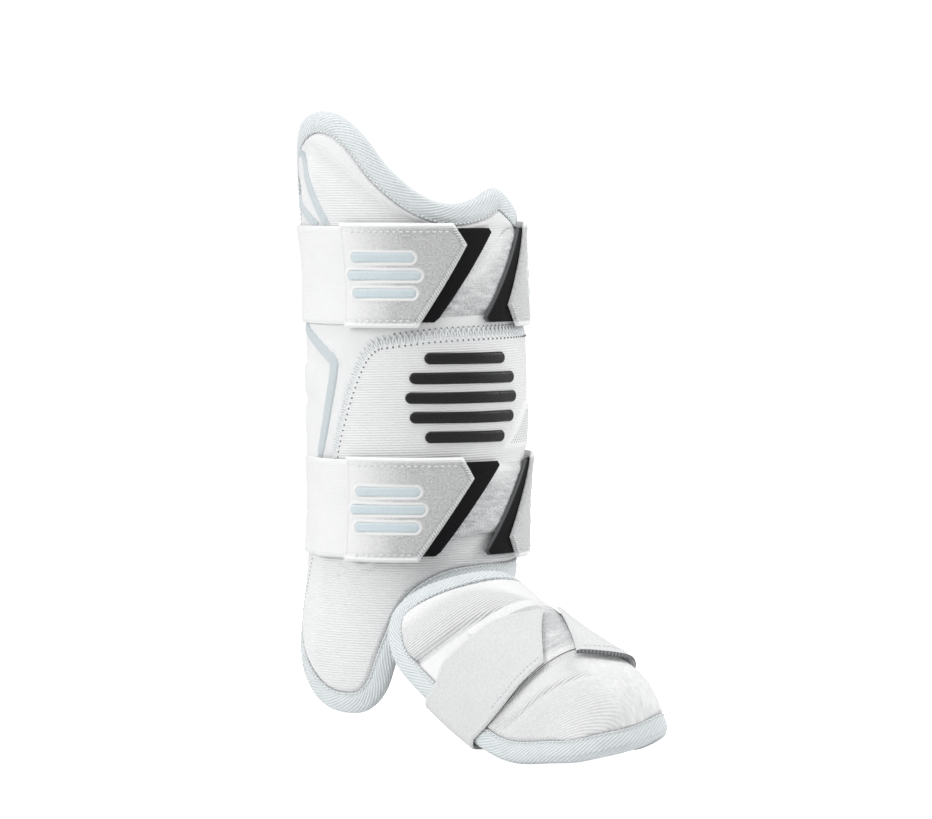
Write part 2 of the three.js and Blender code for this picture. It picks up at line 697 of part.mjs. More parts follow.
// Tape round the foot pad, spaced evenly by real length
function footBinding() {
  const outline = footOutline();
  const points = outline.map(([reach, across]) => footFace(reach, across));
  const lengths = [0];
  for (let i = 1; i <= points.length; i += 1) {
    lengths.push(lengths[i - 1] + points[i % points.length].distanceTo(points[i - 1]));
  }
  const spot = (length) => {
    const wrapped = (length + lengths.at(-1)) % lengths.at(-1);
    const next = Math.max(1, lengths.findIndex((value) => value >= wrapped));
    const share = (wrapped - lengths[next - 1]) / (lengths[next] - lengths[next - 1]);
    const [fromReach, fromAcross] = outline[next - 1];
    const [toReach, toAcross] = outline[next % outline.length];
    return [mix(fromReach, toReach, share), mix(fromAcross, toAcross, share)];
  };
  const stride = lengths.at(-1) / FOOT_TAPE_STEPS;
  const section = tapeSection();
  return ring(FOOT_TAPE_STEPS, section.length, (step, corner) => {
    const place = spot(step * stride);
    const before = footFace(...spot((step - 0.5) * stride));
    const after = footFace(...spot((step + 0.5) * stride));
    const { off } = footAxes(...place);
    const inward = new THREE.Vector3().crossVectors(after.sub(before).normalize(), off).normalize();
    const [distance, lift] = section[corner];
    const flat = footFace(...place).addScaledVector(inward, distance);
    if (distance <= 0) {
      return flat.addScaledVector(off, lift);
    }
    return footPoint(...footNear(flat, place), lift);
  });
}

function footLoop() {
  const columns = 5;
  const rows = 8;
  return wall(columns, rows, (column, row, side) => {
    const across = mix(FOOT_LOOP.inner, FOOT_LOOP.outer, row / rows);
    const reach = swept(mix(FOOT_LOOP.rear, FOOT_LOOP.front, column / columns), across);
    return footPoint(reach, across, GAP + side * LOOP_FABRIC);
  });
}

// One half of the foot strap along a lengthwise line: down its side of the pad and round the edge
function footStrapHalf(line, share, sign) {
  const ends = sign < 0 ? FOOT_STRAP.innerEnd : FOOT_STRAP.outerEnd;
  const end = mix(...ends, share);
  const steps = 10;
  const route = [];
  for (let i = 0; i <= steps; i += 1) {
    const across = mix(end, sign, i / steps);
    const place = [swept(line, across), across];
    const lift = straight(FOOT_STRAP_LIFT, 'across', 'lift', Math.abs(across));
    route.push({ at: footPoint(...place, lift), out: footAxes(...place).off });
  }
  const edge = [swept(line, sign), sign];
  const { outer, off } = footAxes(...edge);
  const down = outer.clone().normalize().multiplyScalar(sign);
  const fold = TAPE_ROOM + TAPE + FOOT_STRAP_GAP;
  const corner = footPoint(...edge, 0).addScaledVector(down, fold);
  route.push({ at: corner, out: off.clone().add(down).normalize() });
  const under = footPoint(...edge, -HEM_SINK - HEM / 2).addScaledVector(down, fold + ELASTIC / 2);
  route.push({ at: under, out: new THREE.Vector3(0, 0, -1) });
  return route;
}

function footStrap() {
  const rows = 3;
  const stations = Array.from({ length: rows + 1 }, (_, row) => {
    const line = mix(FOOT_STRAP.rear, FOOT_STRAP.front, row / rows);
    const inner = footStrapHalf(line, row / rows, -1);
    const outer = footStrapHalf(line, row / rows, 1);
    const middle = inner.at(-1).at.clone().lerp(outer.at(-1).at, 0.5);
    middle.z -= FOOT_STRAP_SAG;
    return [...inner, { at: middle, out: inner.at(-1).out }, ...outer.reverse()];
  });
  return wall(stations[0].length - 1, rows, (column, row, side) => {
    const { at, out } = stations[row][column];
    return at.clone().addScaledVector(out, side * ELASTIC);
  });
}

// Strip down the inside of the shell's front and forward under the ankle edge of the foot pad
function ankleLink() {
  const rows = 4;
  const face = -HEM_SINK - HEM - TAPE_BACK_GAP - TAPE - LINK.clearance;
  const columns = LINK.heights.length + LINK.reach.length - 1;
  return wall(columns, rows, (column, row, side) => {
    const sideways = mix(-LINK.half, LINK.half, row / rows);
    const lift = face - (1 - side) * LINK.wall;
    if (column < LINK.heights.length) {
      return legPoint(sideways * degreesPerMm, LINK.heights[column], lift);
    }
    const across = (sideways - FOOT[0].centre) / FOOT[0].outer;
    return footPoint(LINK.reach[column - LINK.heights.length], across, lift);
  });
}

addPiece('shin_shell', shinShell(), WHITE_CLOTH);
addPiece('shin_binding', shinBinding(), PALE_TAPE);
addPiece('front_panel', frontPanel(), WHITE_CLOTH);
addPiece('vent_patch', ventPatch(), WHITE_CLOTH);
for (const { name, path } of STRIPES) {
  addPiece(name, stripe(path), PALE_TAPE);
}
lensBars(SHIN_BARS).forEach(({ z, length }, i) => {
  const lift = PANEL_GAP + PANEL + GAP;
  const geometry = bar(SHIN_BARS.angle, SHIN_BARS.z + z, length, SHIN_BARS.bar, lift);
  addPiece(`shin_bar_${i + 1}`, geometry, BLACK_RUBBER);
});
for (const strap of STRAPS) {
  addPiece(`${strap.name}_loop_panel`, loopPanel(strap), SILVER_LOOP);
  addPiece(`${strap.name}_band`, strapBand(strap), WHITE_ELASTIC);
  for (const [end, turn] of [['inner', 1], ['outer', -1]]) {
    addPiece(`${strap.name}_${end}_tab`, strapTab(strap, turn), TAB_CLOTH);
    addPiece(`${strap.name}_${end}_hook`, strapHook(strap, turn), BLACK_RUBBER);
    lensBars(TAB_BARS).forEach(({ z, length }, i) => {
      const angle = strap.middle + turn * TAB_BARS.angle;
      const lift = strap.floor + TAB_LIFT + TAB + GAP;
      const geometry = bar(angle, strap.z + z, length, TAB_BARS.bar, lift);
      addPiece(`${strap.name}_${end}_bar_${i + 1}`, geometry, PALE_TAPE);
    });
  }
}
addPiece('foot_pad', footPad(), WHITE_CLOTH);
addPiece('foot_binding', footBinding(), PALE_TAPE);
addPiece('foot_loop_panel', footLoop(), SILVER_LOOP);
addPiece('foot_strap', footStrap(), WHITE_ELASTIC);
addPiece('ankle_link', ankleLink(), WHITE_ELASTIC);

export default legGuard;
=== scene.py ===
"""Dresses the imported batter's leg guard: padded cloth, edge tape, straps, hooks and stitching."""

import math

import bpy
import numpy as np
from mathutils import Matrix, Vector


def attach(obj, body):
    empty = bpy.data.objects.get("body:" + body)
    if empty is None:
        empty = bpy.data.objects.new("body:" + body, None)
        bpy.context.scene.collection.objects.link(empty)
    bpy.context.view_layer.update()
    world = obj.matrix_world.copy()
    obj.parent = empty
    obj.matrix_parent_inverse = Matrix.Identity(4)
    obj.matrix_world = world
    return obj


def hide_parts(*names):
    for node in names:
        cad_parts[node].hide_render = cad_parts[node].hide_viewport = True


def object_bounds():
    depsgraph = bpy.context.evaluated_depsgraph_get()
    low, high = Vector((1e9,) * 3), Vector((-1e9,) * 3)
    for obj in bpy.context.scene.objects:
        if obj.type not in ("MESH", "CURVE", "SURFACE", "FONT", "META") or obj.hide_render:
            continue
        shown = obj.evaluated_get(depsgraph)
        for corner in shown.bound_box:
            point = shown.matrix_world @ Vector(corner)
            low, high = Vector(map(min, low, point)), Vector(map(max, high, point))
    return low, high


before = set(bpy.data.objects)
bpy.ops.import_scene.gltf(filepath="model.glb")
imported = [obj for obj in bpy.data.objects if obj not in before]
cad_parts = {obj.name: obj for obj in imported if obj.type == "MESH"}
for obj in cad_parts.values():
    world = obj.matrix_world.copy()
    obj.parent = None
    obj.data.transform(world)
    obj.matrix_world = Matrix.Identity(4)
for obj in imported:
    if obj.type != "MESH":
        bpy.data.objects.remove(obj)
CAD_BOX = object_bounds()

bl_info = {
    "name": "Leg guard",
    "version": (1, 0, 0),
    "blender": (4, 5, 0),
    "location": "View3D > Sidebar > Leg guard",
    "description": "Builds the cloth, tape, straps and stitching of a batter's leg guard",
    "category": "Object",
}


def table(columns, *rows):
    """Named columns of numbers from rows."""
    return dict(zip(columns.split(), np.array(rows, float).T))


# Walls and gaps in millimetres, as in the part's source
MM = 0.001
PAD = 8.0
HEM = 3.4
HEM_SINK = 2.5
TAPE = 1.3
TAPE_WIDTH = 9.8
TAPE_ROOM = 1.8
TAPE_GAP = 0.85
TAPE_BACK_GAP = 1.6
GAP = 0.45
PANEL_GAP = 0.7
PANEL = 1.7
LOOP_FABRIC = 0.9
HOOK_GAP = 0.6
HOOK = 1.4
TAB = 2.0
ELASTIC = 1.6
BAR = 1.5
STRIPE = 1.0

# Fine shape of hems, tape and cloth edges: a pair is where a change starts and ends
HEM_ROLL = (9.0, 11.4)
TAPE_PUFF = 0.5
TAPE_RIM = {"width": 2.2, "drop": 0.5, "round": 0.3}
TAPE_FURROW = table("height centre width", (-0.4, 2.3, 0.9))
TAPE_STITCH = {"in": 1.0, "rise": 0.05}
TAPE_EVEN = 7
EDGE_THIN = 0.4
ELASTIC_ROLL = 1.3
CLOTH_ROLL = 1.4
SHARP = math.radians(48)
NOISE_SEED = 7

# Points along and across each piece's grid, and round or along its outline
GRIDS = {
    "shell": (210, 170),
    "panel": (150, 100),
    "vent": (50, 50),
    "strip": (110, 13),
    "tab": (140, 84),
    "hook": (40, 44),
    "loop": (130, 64),
    "band": (180, 35),
    "foot_pad": (170, 150),
    "foot_loop": (80, 90),
    "link": (60, 17),
}
OUTLINES = {"shell": 260, "shell_tape": 620, "panel": 260, "seam": 240, "foot_pad": 300, "foot_tape": 380}
FOOT_STRAP_POINTS = {"width": 40, "over": 44, "end": 60, "under": 70}

# Stitches: thickness as a share of the sewing thread, arch, and share of the pitch that shows
STITCHES = {
    "flap_stitches": {"thick": 1.39, "arch": 0.1, "share": 0.5},
    "tape_stitches": {"thick": 1.25, "arch": 0.2, "share": 0.6},
    "panel_seam": {"thick": 1.4, "arch": 0.2},
    "seam_holes": {"arch": 0.0},
    "tab_stitches": {"thick": 1.35, "arch": 0.45, "share": 0.56},
    "tab_overcast": {"thick": 0.9, "arch": 0.4},
    "foot_strap_stitches": {"thick": 1.0, "arch": 0.2, "share": 0.5},
}
THREAD_SINK = 0.2

# Spindle of one thread: share of its length, share of its radius, share of its arch
THREAD_RINGS = ((0.0, 0.45, 0.0), (0.16, 0.92, 0.55), (0.5, 1.0, 1.0), (0.84, 0.92, 0.55), (1.0, 0.45, 0.0))
THREAD_SIDES = 6
THREAD_TWIST = (18.0, 3.0, 0)
# Colour of the painted shade in the needle holes
NEEDLE_HOLE_SHADE = (0.17, 0.175, 0.18)

# Calf straps
ELASTIC_WIDTH = 58.0
STRAPS = {
    "upper": {"z": 70.0, "middle": 10.0, "floor": 0.0},
    "lower": {"z": -67.7, "middle": 11.0, "floor": PANEL_GAP + PANEL},
}
TURNS = {"inner": 1, "outer": -1}
TAB_REAR = -79.5
BAND_START = -74.0
HOOK_TUCK = 8.0
TAB_END = table("height angle", (-30.8, -40.5), (18, -13.2), (30.8, -20))
HOOK_END = table("height angle", (-27.6, -32), (-25.2, -29.4), (25.4, 4), (27.8, 2))
HOOK_LIFT = GAP + LOOP_FABRIC + HOOK_GAP
TAB_LIFT = HOOK_LIFT + HOOK + GAP
BAND_LIFT = 1.0
LOOP_TOP = {
    "upper": table("angle z", (-46, -4), (-7, 5), (20, 26), (46, 25)),
    "lower": table("angle z", (-46, 25), (0, 26), (46, 26)),
}
LOOP_BOTTOM = {
    "upper": table("angle z", (-46, -26), (0, -23.5), (46, -24)),
    "lower": table("angle z", (-46, -23), (-5, -15), (46, -15)),
}

# Fine shape of the calf straps: humps and marks by distance from an edge
LOOP_ROLL = 5.0
LOOP_LIMIT = 0.3
LOOP_FUZZ = {"calf": 0.11, "foot": 0.08}
# Painted highlight over the top of each calf loop, fading toward the outer hook.
LOOP_HIGHLIGHT = {"share": 0.95, "depth": 17, "angle": 40}
BAND_HUG = {"start": (196, 222), "end": (274, 260)}
BAND_HEM = table("height centre width", (0.18, 2.2, 1.2), (-0.15, 4.6, 0.8))
HOOK_EDGE = {"thin": 0.45, "roll": 1.1}
HOOK_LEAD = (2.2, 0.8)
# Painted highlight along the leading edge of the outer hook.
HOOK_HIGHLIGHT = {"inner": 0.0, "outer": 0.9}
TAB_RAMP = 0.4
TAB_ROWS = (4.2, 5.1)
TAB_ROW_ENDS = (7.0, 4.5)
TAB_FURROW = {"depth": 0.35, "width": 0.8}
TAB_HEM = table("height centre width", (0.3, 1.5, 0.9), (-0.3, 3.0, 0.6))
# Tab marks: clean white hems and bar rims, a painted highlight toward the rear end and painted shade toward
# the slanted end, both in part the cloth's own tone.
TAB_CLEAN = {"hem": (3.4, 2.4), "rear": 44, "rim": (2.1, 1.5), "shaded_end": (0.45, 1.0), "share": 0.9}
OVERCAST = {"count": 44, "outer": 0.9, "inner": 3.4, "lean": 0.7, "rise": 0.05}

# The shell in plan by height, and its two edges by angle
LEG = table(
    "z half_width half_depth shift",
    (-200, 65, 66, -5),
    (-155, 65.6, 65, -4.4),
    (-112, 63.2, 62.8, -2.4),
    (-68, 61.8, 62.4, -0.8),
    (-34, 63.4, 64, 0),
    (4, 64.6, 65, 0),
    (40, 64.2, 64.4, -1),
    (72, 63.6, 63.6, -2),
    (104, 65, 64.6, -4.5),
    (172, 66, 64.6, -7.5),
)
DEGREES_PER_MM = 180 / (math.pi * 64)
TOP_EDGE = table(
    "angle z",
    (-134, 110),
    (-126, 133),
    (-117, 147),
    (-106, 156.5),
    (-94, 162),
    (-82, 163.5),
    (-69, 159.5),
    (-57, 149),
    (-44, 131),
    (-27, 115.5),
    (-10, 109),
    (9, 112),
    (24, 118),
    (36, 113),
    (48, 107.5),
    (62, 105.5),
    (82, 96),
    (92, 72),
)
BOTTOM_EDGE = table(
    "angle z",
    (-134, -106),
    (-127, -138),
    (-113, -159),
    (-95, -175.5),
    (-80, -184),
    (-64, -186),
    (-54, -182.5),
    (-46, -172),
    (-41, -156),
    (-31.5, -129.5),
    (-17, -116),
    (2, -111.5),
    (57, -110),
    (80, -103),
    (92, -80),
)

# Front panel, strips, bars and vent
PANEL_SIDE = table("z angle", (-110, -89), (-36, -81), (-4, -72.5), (20, -65), (40, -58))
PANEL_OUTER = 70.0
PANEL_TOP = table("angle z", (-90, 28), (-57, 31), (-14, 36.5), (70, 38))
PANEL_BOTTOM = table("angle z", (-90, -80), (70, -80))
STRIPE_WIDTH = {"side_stripe": 7.4, "upper_stripe_long": 5.5, "upper_stripe_short": 5.5}
STRIPES = {
    "side_stripe": ((-110, 37.7), (-95, 29.5), (-83, 21.5), (-79.6, 18.5), (-79.9, 13),
                    (-82, 3), (-89, -22), (-94.2, -36.6)),
    "upper_stripe_long": ((-106, 143), (-98, 129), (-90, 114.5), (-81.5, 101.2)),
    "upper_stripe_short": ((-117, 115), (-103, 107.5), (-93.5, 101.8)),
}
SHIN_BARS = {"count": 5, "width": 75, "height": 62, "pitch": 11.6, "bar": 6.8}
SHIN_BARS_AT = (-4.0, -2.0)
TAB_BARS = {"count": 3, "width": 42, "height": 38, "pitch": 10.5, "bar": 5.2}
TAB_BARS_ANGLE = -57.0
TAB_BAR_SUNK = 0.3
TAB_BAR_RISE = 0.75
VENT = {"low": -35, "high": -6, "slant_low": 13, "slant_high": 42, "outer": 58}

# Fine shape of the panel, bars, seam, strips and vent
BAR_RIM = table("height centre width", (0.32, 1.1, 0.7), (-0.4, 0, 0.5), (-0.12, 2.6, 0.8))
BAR_PILLOW = {"rim": 0.3, "slope": 2.4}
BAR_GAP = 0.05
LENS_BLUNT = 0.9
PANEL_ROUND = {"wide": 13.0, "deep": 8.5, "power": 5}
PANEL_EDGE = {"thin": 0.08, "roll": 6}
SEAM = {"inside": 5.0, "outside": 2.6, "lift": 0.3}
# Dark spots of painted shade at the seam's needle holes
SEAM_HOLE = {"inside": 0.6, "outside": 0.45, "length": 0.8, "rise": 0.25}
STRIPE_TUCK = {"near": 4, "length": 6.0}
STRIPE_CROWN = {"limit": 0.995, "power": 4}
STRIPE_DIP = (0.5, 3)
VENT_WINDOW = {"edge": (4.5, 5.5), "sink": 0.35}
VENT_ROLL = 2.4

# Foot pad as an arch over the foot, and its outline
FOOT = table(
    "reach centre ridge inner outer drop arch",
    (44, -12, -94, 50, 61, 46, 70),
    (88, -11, -100, 48, 60, 64.5, 70),
    (125, -7, -116, 44, 55.5, 72, 70),
    (160, -3, -131, 41.5, 49, 71.5, 72),
    (200, 1, -149, 40, 41.5, 53.5, 80),
    (216, 3, -158.5, 37.5, 32, 52.5, 86),
    (226, 4, -170, 33, 27.5, 51, 89),
    (231, 4.5, -184, 30.5, 24.5, 38, 89.5),
    (236, 5, -197.5, 28, 22, 14, 90),
)
FOOT_SWEEP = 45.0
FOOT_CURL = {"rise": 7.5, "reach": (135, 222), "across": (-0.15, 0.6)}
FOOT_HEEL = {"reach": 96, "sweep": 125, "round": 102, "power": 4}
FOOT_TOE = {"tip": 234.5, "blunt": 0.8, "inner": 50, "outer": 60, "power": 2.6}
FOOT_STRAP = {"rear": 135.5, "front": 184.5}
FOOT_STRAP_GAP = 0.65
FOOT_STRAP_ENDS = {-1: (0, -0.42), 1: (0.24, -0.18)}
FOOT_STRAP_LIFT = table(
    "across lift", (0, 2.8), (0.62, 2.8), (0.78, 1.4), (0.9, 0.4), (1, 0.4)
)
FOOT_STRAP_SAG = 1.5
FOOT_STRAP_WIDTH = 50.0
FOOT_STRAP_HEM = table("height centre width", (0.15, 2.0, 1.0), (-0.2, 3.6, 0.7))
FOOT_STRAP_REAR = table("shift low high", (10, -0.48, 0.02), (11, -0.74, -1.0))
FOOT_STRAP_FRONT = table("height centre width", (12, 0.12, 0.32), (12, 0.45, 0.3))
FOOT_STRAP_ROW = {"from_end": 2, "count": 38, "from_edge": 5}
FOOT_LOOP = {"rear": 129.5, "front": 183, "inner": -0.55, "outer": 0.45}
FOOT_LOOP_PILE = {"roll": 1.2, "least": 0.2}
FOOT_LOOP_PALE = {"least": 0.1, "rear": (2, 1), "front": 0.9, "rim": (8, 1), "line": (165, 175)}
FOOT_CLOTH = 62.0
FOOT_ROUND = 9.0
FOOT_SEAM = 112.0
LINK = {"half": 16, "clearance": 1.5, "wall": 1.6}
LINK_HEIGHTS = (-80, -101, -123.5)
LINK_REACH = (100, 111, 122)

# Folds of the foot pad: lines by their reach at its middle, places by their share across
INSTEP_SIDE = (0.0, -0.3)
INSTEP_VALLEY = {"line": 125, "bend": 55, "from": -0.62}
INSTEP_FOLD = table("height centre width", (1.0, -12, 6), (-2.0, 0, 2.4), (0.5, 4.2, 1.3))
INSTEP_DEEPER = {"depth": 1.6, "width": 2.4, "across": (-0.35, -0.8)}
INSTEP_STRIP = {"valley": (3.6, 4.6), "line": (150, 145)}
HEEL_PLAIN = {"share": 0.7, "valley": (-18, -30)}
TOE_PINCH = {"line": 197, "bend": 18, "from": -0.8, "span": 0.6}
TOE_PINCHED = {"inner": (-0.95, -0.7), "outer": (-0.05, -0.5), "line": (186, 189)}
TOE_FOLD = table("height centre width", (0.7, -4, 2.5), (-1.3, 0.5, 1.4))
TOE_STRIP = {"share": 0.6, "plain": 0.8, "pinch": (0.3, -2.0)}
TOE_GRAIN = {"least": 0.35, "line": (186, 196), "across": (-0.4, -0.1)}
STRAP_ROOM = {"under": 0.4, "rear": 0.8, "toe": 1.0}
STRAP_SPAN = {"rear": (129, 122), "toe": (186, 190)}

# Soft relief of the shell: creases as angle and height, and padded blocks on the inner side
TOP_CREASE = (
    (-134, 88), (-122, 117), (-108, 137), (-94, 146.5), (-80, 141.5), (-66, 131), (-52, 118),
    (-44, 111), (-28, 101), (-4, 95), (30, 98), (66, 88), (92, 56),
)
CREASE_DIP = {"depth": 1.8, "above": (-3.0, 0.5), "below": (18, 2)}
CREASE_FROM = (84, 104)
FLAP_FOLDS = (
    ((-75.6, -107.6), (-66.1, -105.3), (-54.2, -102.5)),
    ((-74.6, -101.6), (-69, -101.2), (-63.8, -101.7)),
)
FLAP_FOLD = table("height centre width", (-1.3, 0, 1.3), (0.9, -3.4, 2.4))
FLAP_STITCHES = ((-104.5, -99.5), (-109.1, -113), (-117, -128.6), (-119, -143))
FLAP_PITCH = 2.6
SIDE_BLOCKS = ((-126, -95, -3, 17), (-128, -99, -42, -7))
BLOCK_ROLL = (-1.5, 4.5)
BLOCK_CLEAR = 6
STRIPE_WELTS = table("height centre width", (1.3, -5.0, 1.2), (0.8, -8.6, 1.6), (0.8, 4.8, 1.3))
WELT_TOP = (44, 38)
LINING_CHANNEL = {"pitch": 21.0, "depth": 0.8, "power": 0.6, "edge": (16, 30)}
PLAIN_TOP = (2.0, -2.0)
PLAIN_SIDE = {"share": 0.75, "angle": (-84, -96)}
PLAIN_MIDDLE = (52, 46)

# Photograph's viewpoint
VIEW_AZIMUTH = math.radians(-33)
VIEW_ELEVATION = math.radians(2.6)
VIEW_DISTANCE = 3.2
VIEW_MM_PER_PIXEL = 0.6
VIEW_OFFSET = (51 * VIEW_MM_PER_PIXEL * MM, -19.5 * VIEW_MM_PER_PIXEL * MM)
IMAGE_WIDTH = 932
SENSOR = 36.0

# Studio: light of the room and lamps placed by the view's directions, in metres and watts
ROOM = {"light": 0.56, "seen": 1.05}
FLOOR = {"half": 6.0, "drop": 0.6 * MM, "tone": 0.85, "roughness": 0.9}
LAMPS = {
    "key": {"back": 0.6, "right": -1.4, "up": 0.65, "size": 0.9, "power": 10.4},
    "side": {"back": -0.2, "right": 1.4, "up": 0.6, "size": 0.8, "power": 9.0},
    "top": {"back": 0.5, "right": 0.0, "up": 1.5, "size": 0.9, "power": 11.0},
}
WHITE = (1, 1, 1, 1)


def length_property(name, description, millimetres):
    return bpy.props.FloatProperty(
        name=name, description=description, default=millimetres * MM, min=0.05 * MM, max=12 * MM,
        precision=5, subtype="DISTANCE", unit="LENGTH")


def colour_property(name, description, default):
    return bpy.props.FloatVectorProperty(
        name=name, description=description, default=default, subtype="COLOR", min=0, max=1)


class LEGGUARD_PG_sizes(bpy.types.PropertyGroup):
    """Fine sizes of the cloth and stitching."""

    rib_pitch: length_property("Rib pitch", "Distance between ribs of the cloth", 1.5)
    twill_pitch: length_property("Twill pitch", "Distance between ribs of the tape", 1.65)
    stitch_pitch: length_property("Stitch pitch", "Distance between stitches of the tape", 2.7)
    tab_pitch: length_property("Tab stitch pitch", "Distance between stitches of a tab", 3.9)
    seam_pitch: length_property("Seam pitch", "Distance between needle holes of the seam", 3.4)
    thread: length_property("Thread", "Radius of the sewing thread", 0.36)
    quilting: length_property("Quilting", "Height of the padded blocks on the side", 1.6)


class LEGGUARD_PG_colours(bpy.types.PropertyGroup):
    """Colours of the cloths, threads and prints."""

    cloth: colour_property("Cloth", "White cloth over the padding", (0.84, 0.842, 0.845))
    lining: colour_property("Lining", "Cloth inside the shell", (0.70, 0.71, 0.72))
    tape: colour_property("Tape", "Twill tape round the edges", (0.745, 0.80, 0.82))
    stripe: colour_property("Stripe", "Raised strips on the side", (0.58, 0.635, 0.66))
    tab: colour_property("Tab", "Brushed cloth of the strap tabs", (0.61, 0.612, 0.615))
    # The hem colour is also laid on as a painted highlight on the tabs' rear ends and over the calf loops.
    hem: colour_property("Hem", "Clean white hems and rims", (0.86, 0.862, 0.865))
    elastic: colour_property("Elastic", "Woven elastic", (0.85, 0.852, 0.855))
    strap: colour_property("Strap", "Elastic strap over the foot", (0.74, 0.743, 0.746))
    braid: colour_property("Braid", "Dark edge of the foot strap", (0.13, 0.135, 0.14))
    loop: colour_property("Loop", "Brushed loop cloth", (0.53, 0.54, 0.55))
    hook: colour_property("Hook", "Moulded hook tongues", (0.006, 0.006, 0.0066))
    dark: colour_property("Front bars", "Raised bars on the front", (0.009, 0.009, 0.0096))
    pale: colour_property("Tab bars", "Raised bars on the tabs", (0.60, 0.68, 0.715))
    thread: colour_property("Thread", "Sewing thread", (0.88, 0.885, 0.89))
    seam: colour_property("Seam", "Thread of the zigzag seam", (0.82, 0.85, 0.862))


def size(name):
    """A fine size in millimetres."""
    return getattr(bpy.context.scene.leg_guard_sizes, name) / MM


def colour(name):
    return tuple(getattr(bpy.context.scene.leg_guard_colours, name))


def smooth(rows, key, column, at):
    """A cubic through a column's rows whose slopes average their neighbours'."""
    xs, ys = rows[key], rows[column]
    slopes = np.empty_like(ys)
    slopes[1:-1] = (ys[2:] - ys[:-2]) / (xs[2:] - xs[:-2])
    slopes[0] = (ys[1] - ys[0]) / (xs[1] - xs[0])
    slopes[-1] = (ys[-1] - ys[-2]) / (xs[-1] - xs[-2])
    at = np.clip(np.asarray(at, float), xs[0], xs[-1])
    i = np.clip(np.searchsorted(xs, at) - 1, 0, len(xs) - 2)
    span = xs[i + 1] - xs[i]
    t = (at - xs[i]) / span
    start = ys[i] * (1 + 2 * t) * (1 - t) ** 2 + slopes[i] * span * t * (1 - t) ** 2
    end = ys[i + 1] * t * t * (3 - 2 * t) + slopes[i + 1] * span * t * t * (t - 1)
    return start + end


def step(low, high, x):
    """Smooth rise from 0 at low to 1 at high."""
    t = np.clip((np.asarray(x, float) - low) / (high - low), 0, 1)
    return t * t * (3 - 2 * t)


def mix(a, b, share):
    return a + (b - a) * share


def hump(x, centre, width):
    return np.exp(-(((np.asarray(x, float) - centre) / width) ** 2))


def humps(x, rows):
    """Sum of the humps in a table of heights, centres and widths."""
    return sum(height * hump(x, centre, width) for height, centre, width in zip(*rows.values()))


def unit(vectors):
    """Vectors scaled to length 1."""
    return vectors / np.linalg.norm(vectors, axis=-1, keepdims=True)


def soft_edge(edge, roll, thin=EDGE_THIN, start=0):
    """Share of a cloth's thickness by distance from its edge, where it thins out."""
    return thin + (1 - thin) * step(start, roll, edge)


def leg_point(angle, z, lift):
    """Point at an angle and height on the shell, lifted off its padded face."""
    angle, z, lift = np.broadcast_arrays(*(np.asarray(v, float) for v in (angle, z, lift)))
    width = smooth(LEG, "z", "half_width", z) + lift
    depth = smooth(LEG, "z", "half_depth", z) + lift
    turn = np.radians(angle)
    x = smooth(LEG, "z", "shift", z) + width * np.sin(turn)
    return np.stack([x, -depth * np.cos(turn), z], -1)


def leg_normal(angle, z):
    return unit(leg_point(angle, z, 1.0) - leg_point(angle, z, 0.0))


def foot_face(reach, across):
    """Point on the arch over the foot, across from -1 at the inner edge to 1 at the outer."""
    reach, across = np.broadcast_arrays(np.asarray(reach, float), np.asarray(across, float))
    read = {name: smooth(FOOT, "reach", name, reach) for name in FOOT if name != "reach"}
    arch = np.radians(read["arch"])
    width = np.where(across < 0, read["inner"], read["outer"])
    x = read["centre"] + width * np.sin(across * arch) / np.sin(arch)
    fall = (1 - np.cos(across * arch)) / (1 - np.cos(arch))
    curl = FOOT_CURL["rise"] * step(*FOOT_CURL["reach"], reach) * step(*FOOT_CURL["across"], across)
    return np.stack([x, -reach, read["ridge"] - read["drop"] * fall + curl], -1)


def foot_axes(reach, across):
    """Directions on the arch: toward the toe, toward the outer side, and off the face."""
    along, side = 0.5, 0.004
    toe = (foot_face(reach + along, across) - foot_face(reach - along, across)) / (2 * along)
    outer = (foot_face(reach, across + side) - foot_face(reach, across - side)) / (2 * side)
    return toe, outer, unit(np.cross(toe, outer))


def foot_point(reach, across, lift):
    return foot_face(reach, across) + foot_axes(reach, across)[2] * np.asarray(lift)[..., None]


def foot_near(target, reach, across):
    """Place on the arch nearest to each point."""
    for _ in range(8):
        toe, outer, _off = foot_axes(reach, across)
        miss = target - foot_face(reach, across)
        tt, oo, to = (toe * toe).sum(-1), (outer * outer).sum(-1), (toe * outer).sum(-1)
        mt, mo = (miss * toe).sum(-1), (miss * outer).sum(-1)
        gram = tt * oo - to**2
        reach = reach + (mt * oo - mo * to) / gram
        across = across + (mo * tt - mt * to) / gram
    return reach, across


def heel_reach(share):
    round_off = FOOT_HEEL["round"] * np.abs(share) ** FOOT_HEEL["power"]
    return FOOT_HEEL["reach"] - FOOT_HEEL["sweep"] * np.square(share) + round_off


def swept(reach, across):
    return reach - FOOT_SWEEP * np.square(across)


def toe_share(reach, sign):
    """Share of the arch that the pad spans on one side."""
    length = np.where(np.asarray(sign) < 0, FOOT_TOE["inner"], FOOT_TOE["outer"])
    past = np.clip((reach - FOOT_TOE["tip"] + length) / length, 0, 1)
    return (1 - past ** FOOT_TOE["power"]) ** (1 / FOOT_TOE["power"])


def lengths_of(path):
    gaps = np.linalg.norm(np.diff(path, axis=0), axis=1)
    return np.concatenate([[0], np.cumsum(gaps)])


def resample(path, places):
    """Points of a path at given distances along it."""
    lengths = lengths_of(path)
    return np.stack([np.interp(places, lengths, column) for column in path.T], -1)


def spread(path, count, closed=False):
    """Evenly spaced points along a path."""
    total = lengths_of(path)[-1]
    return resample(path, np.linspace(0, total, count, endpoint=not closed))


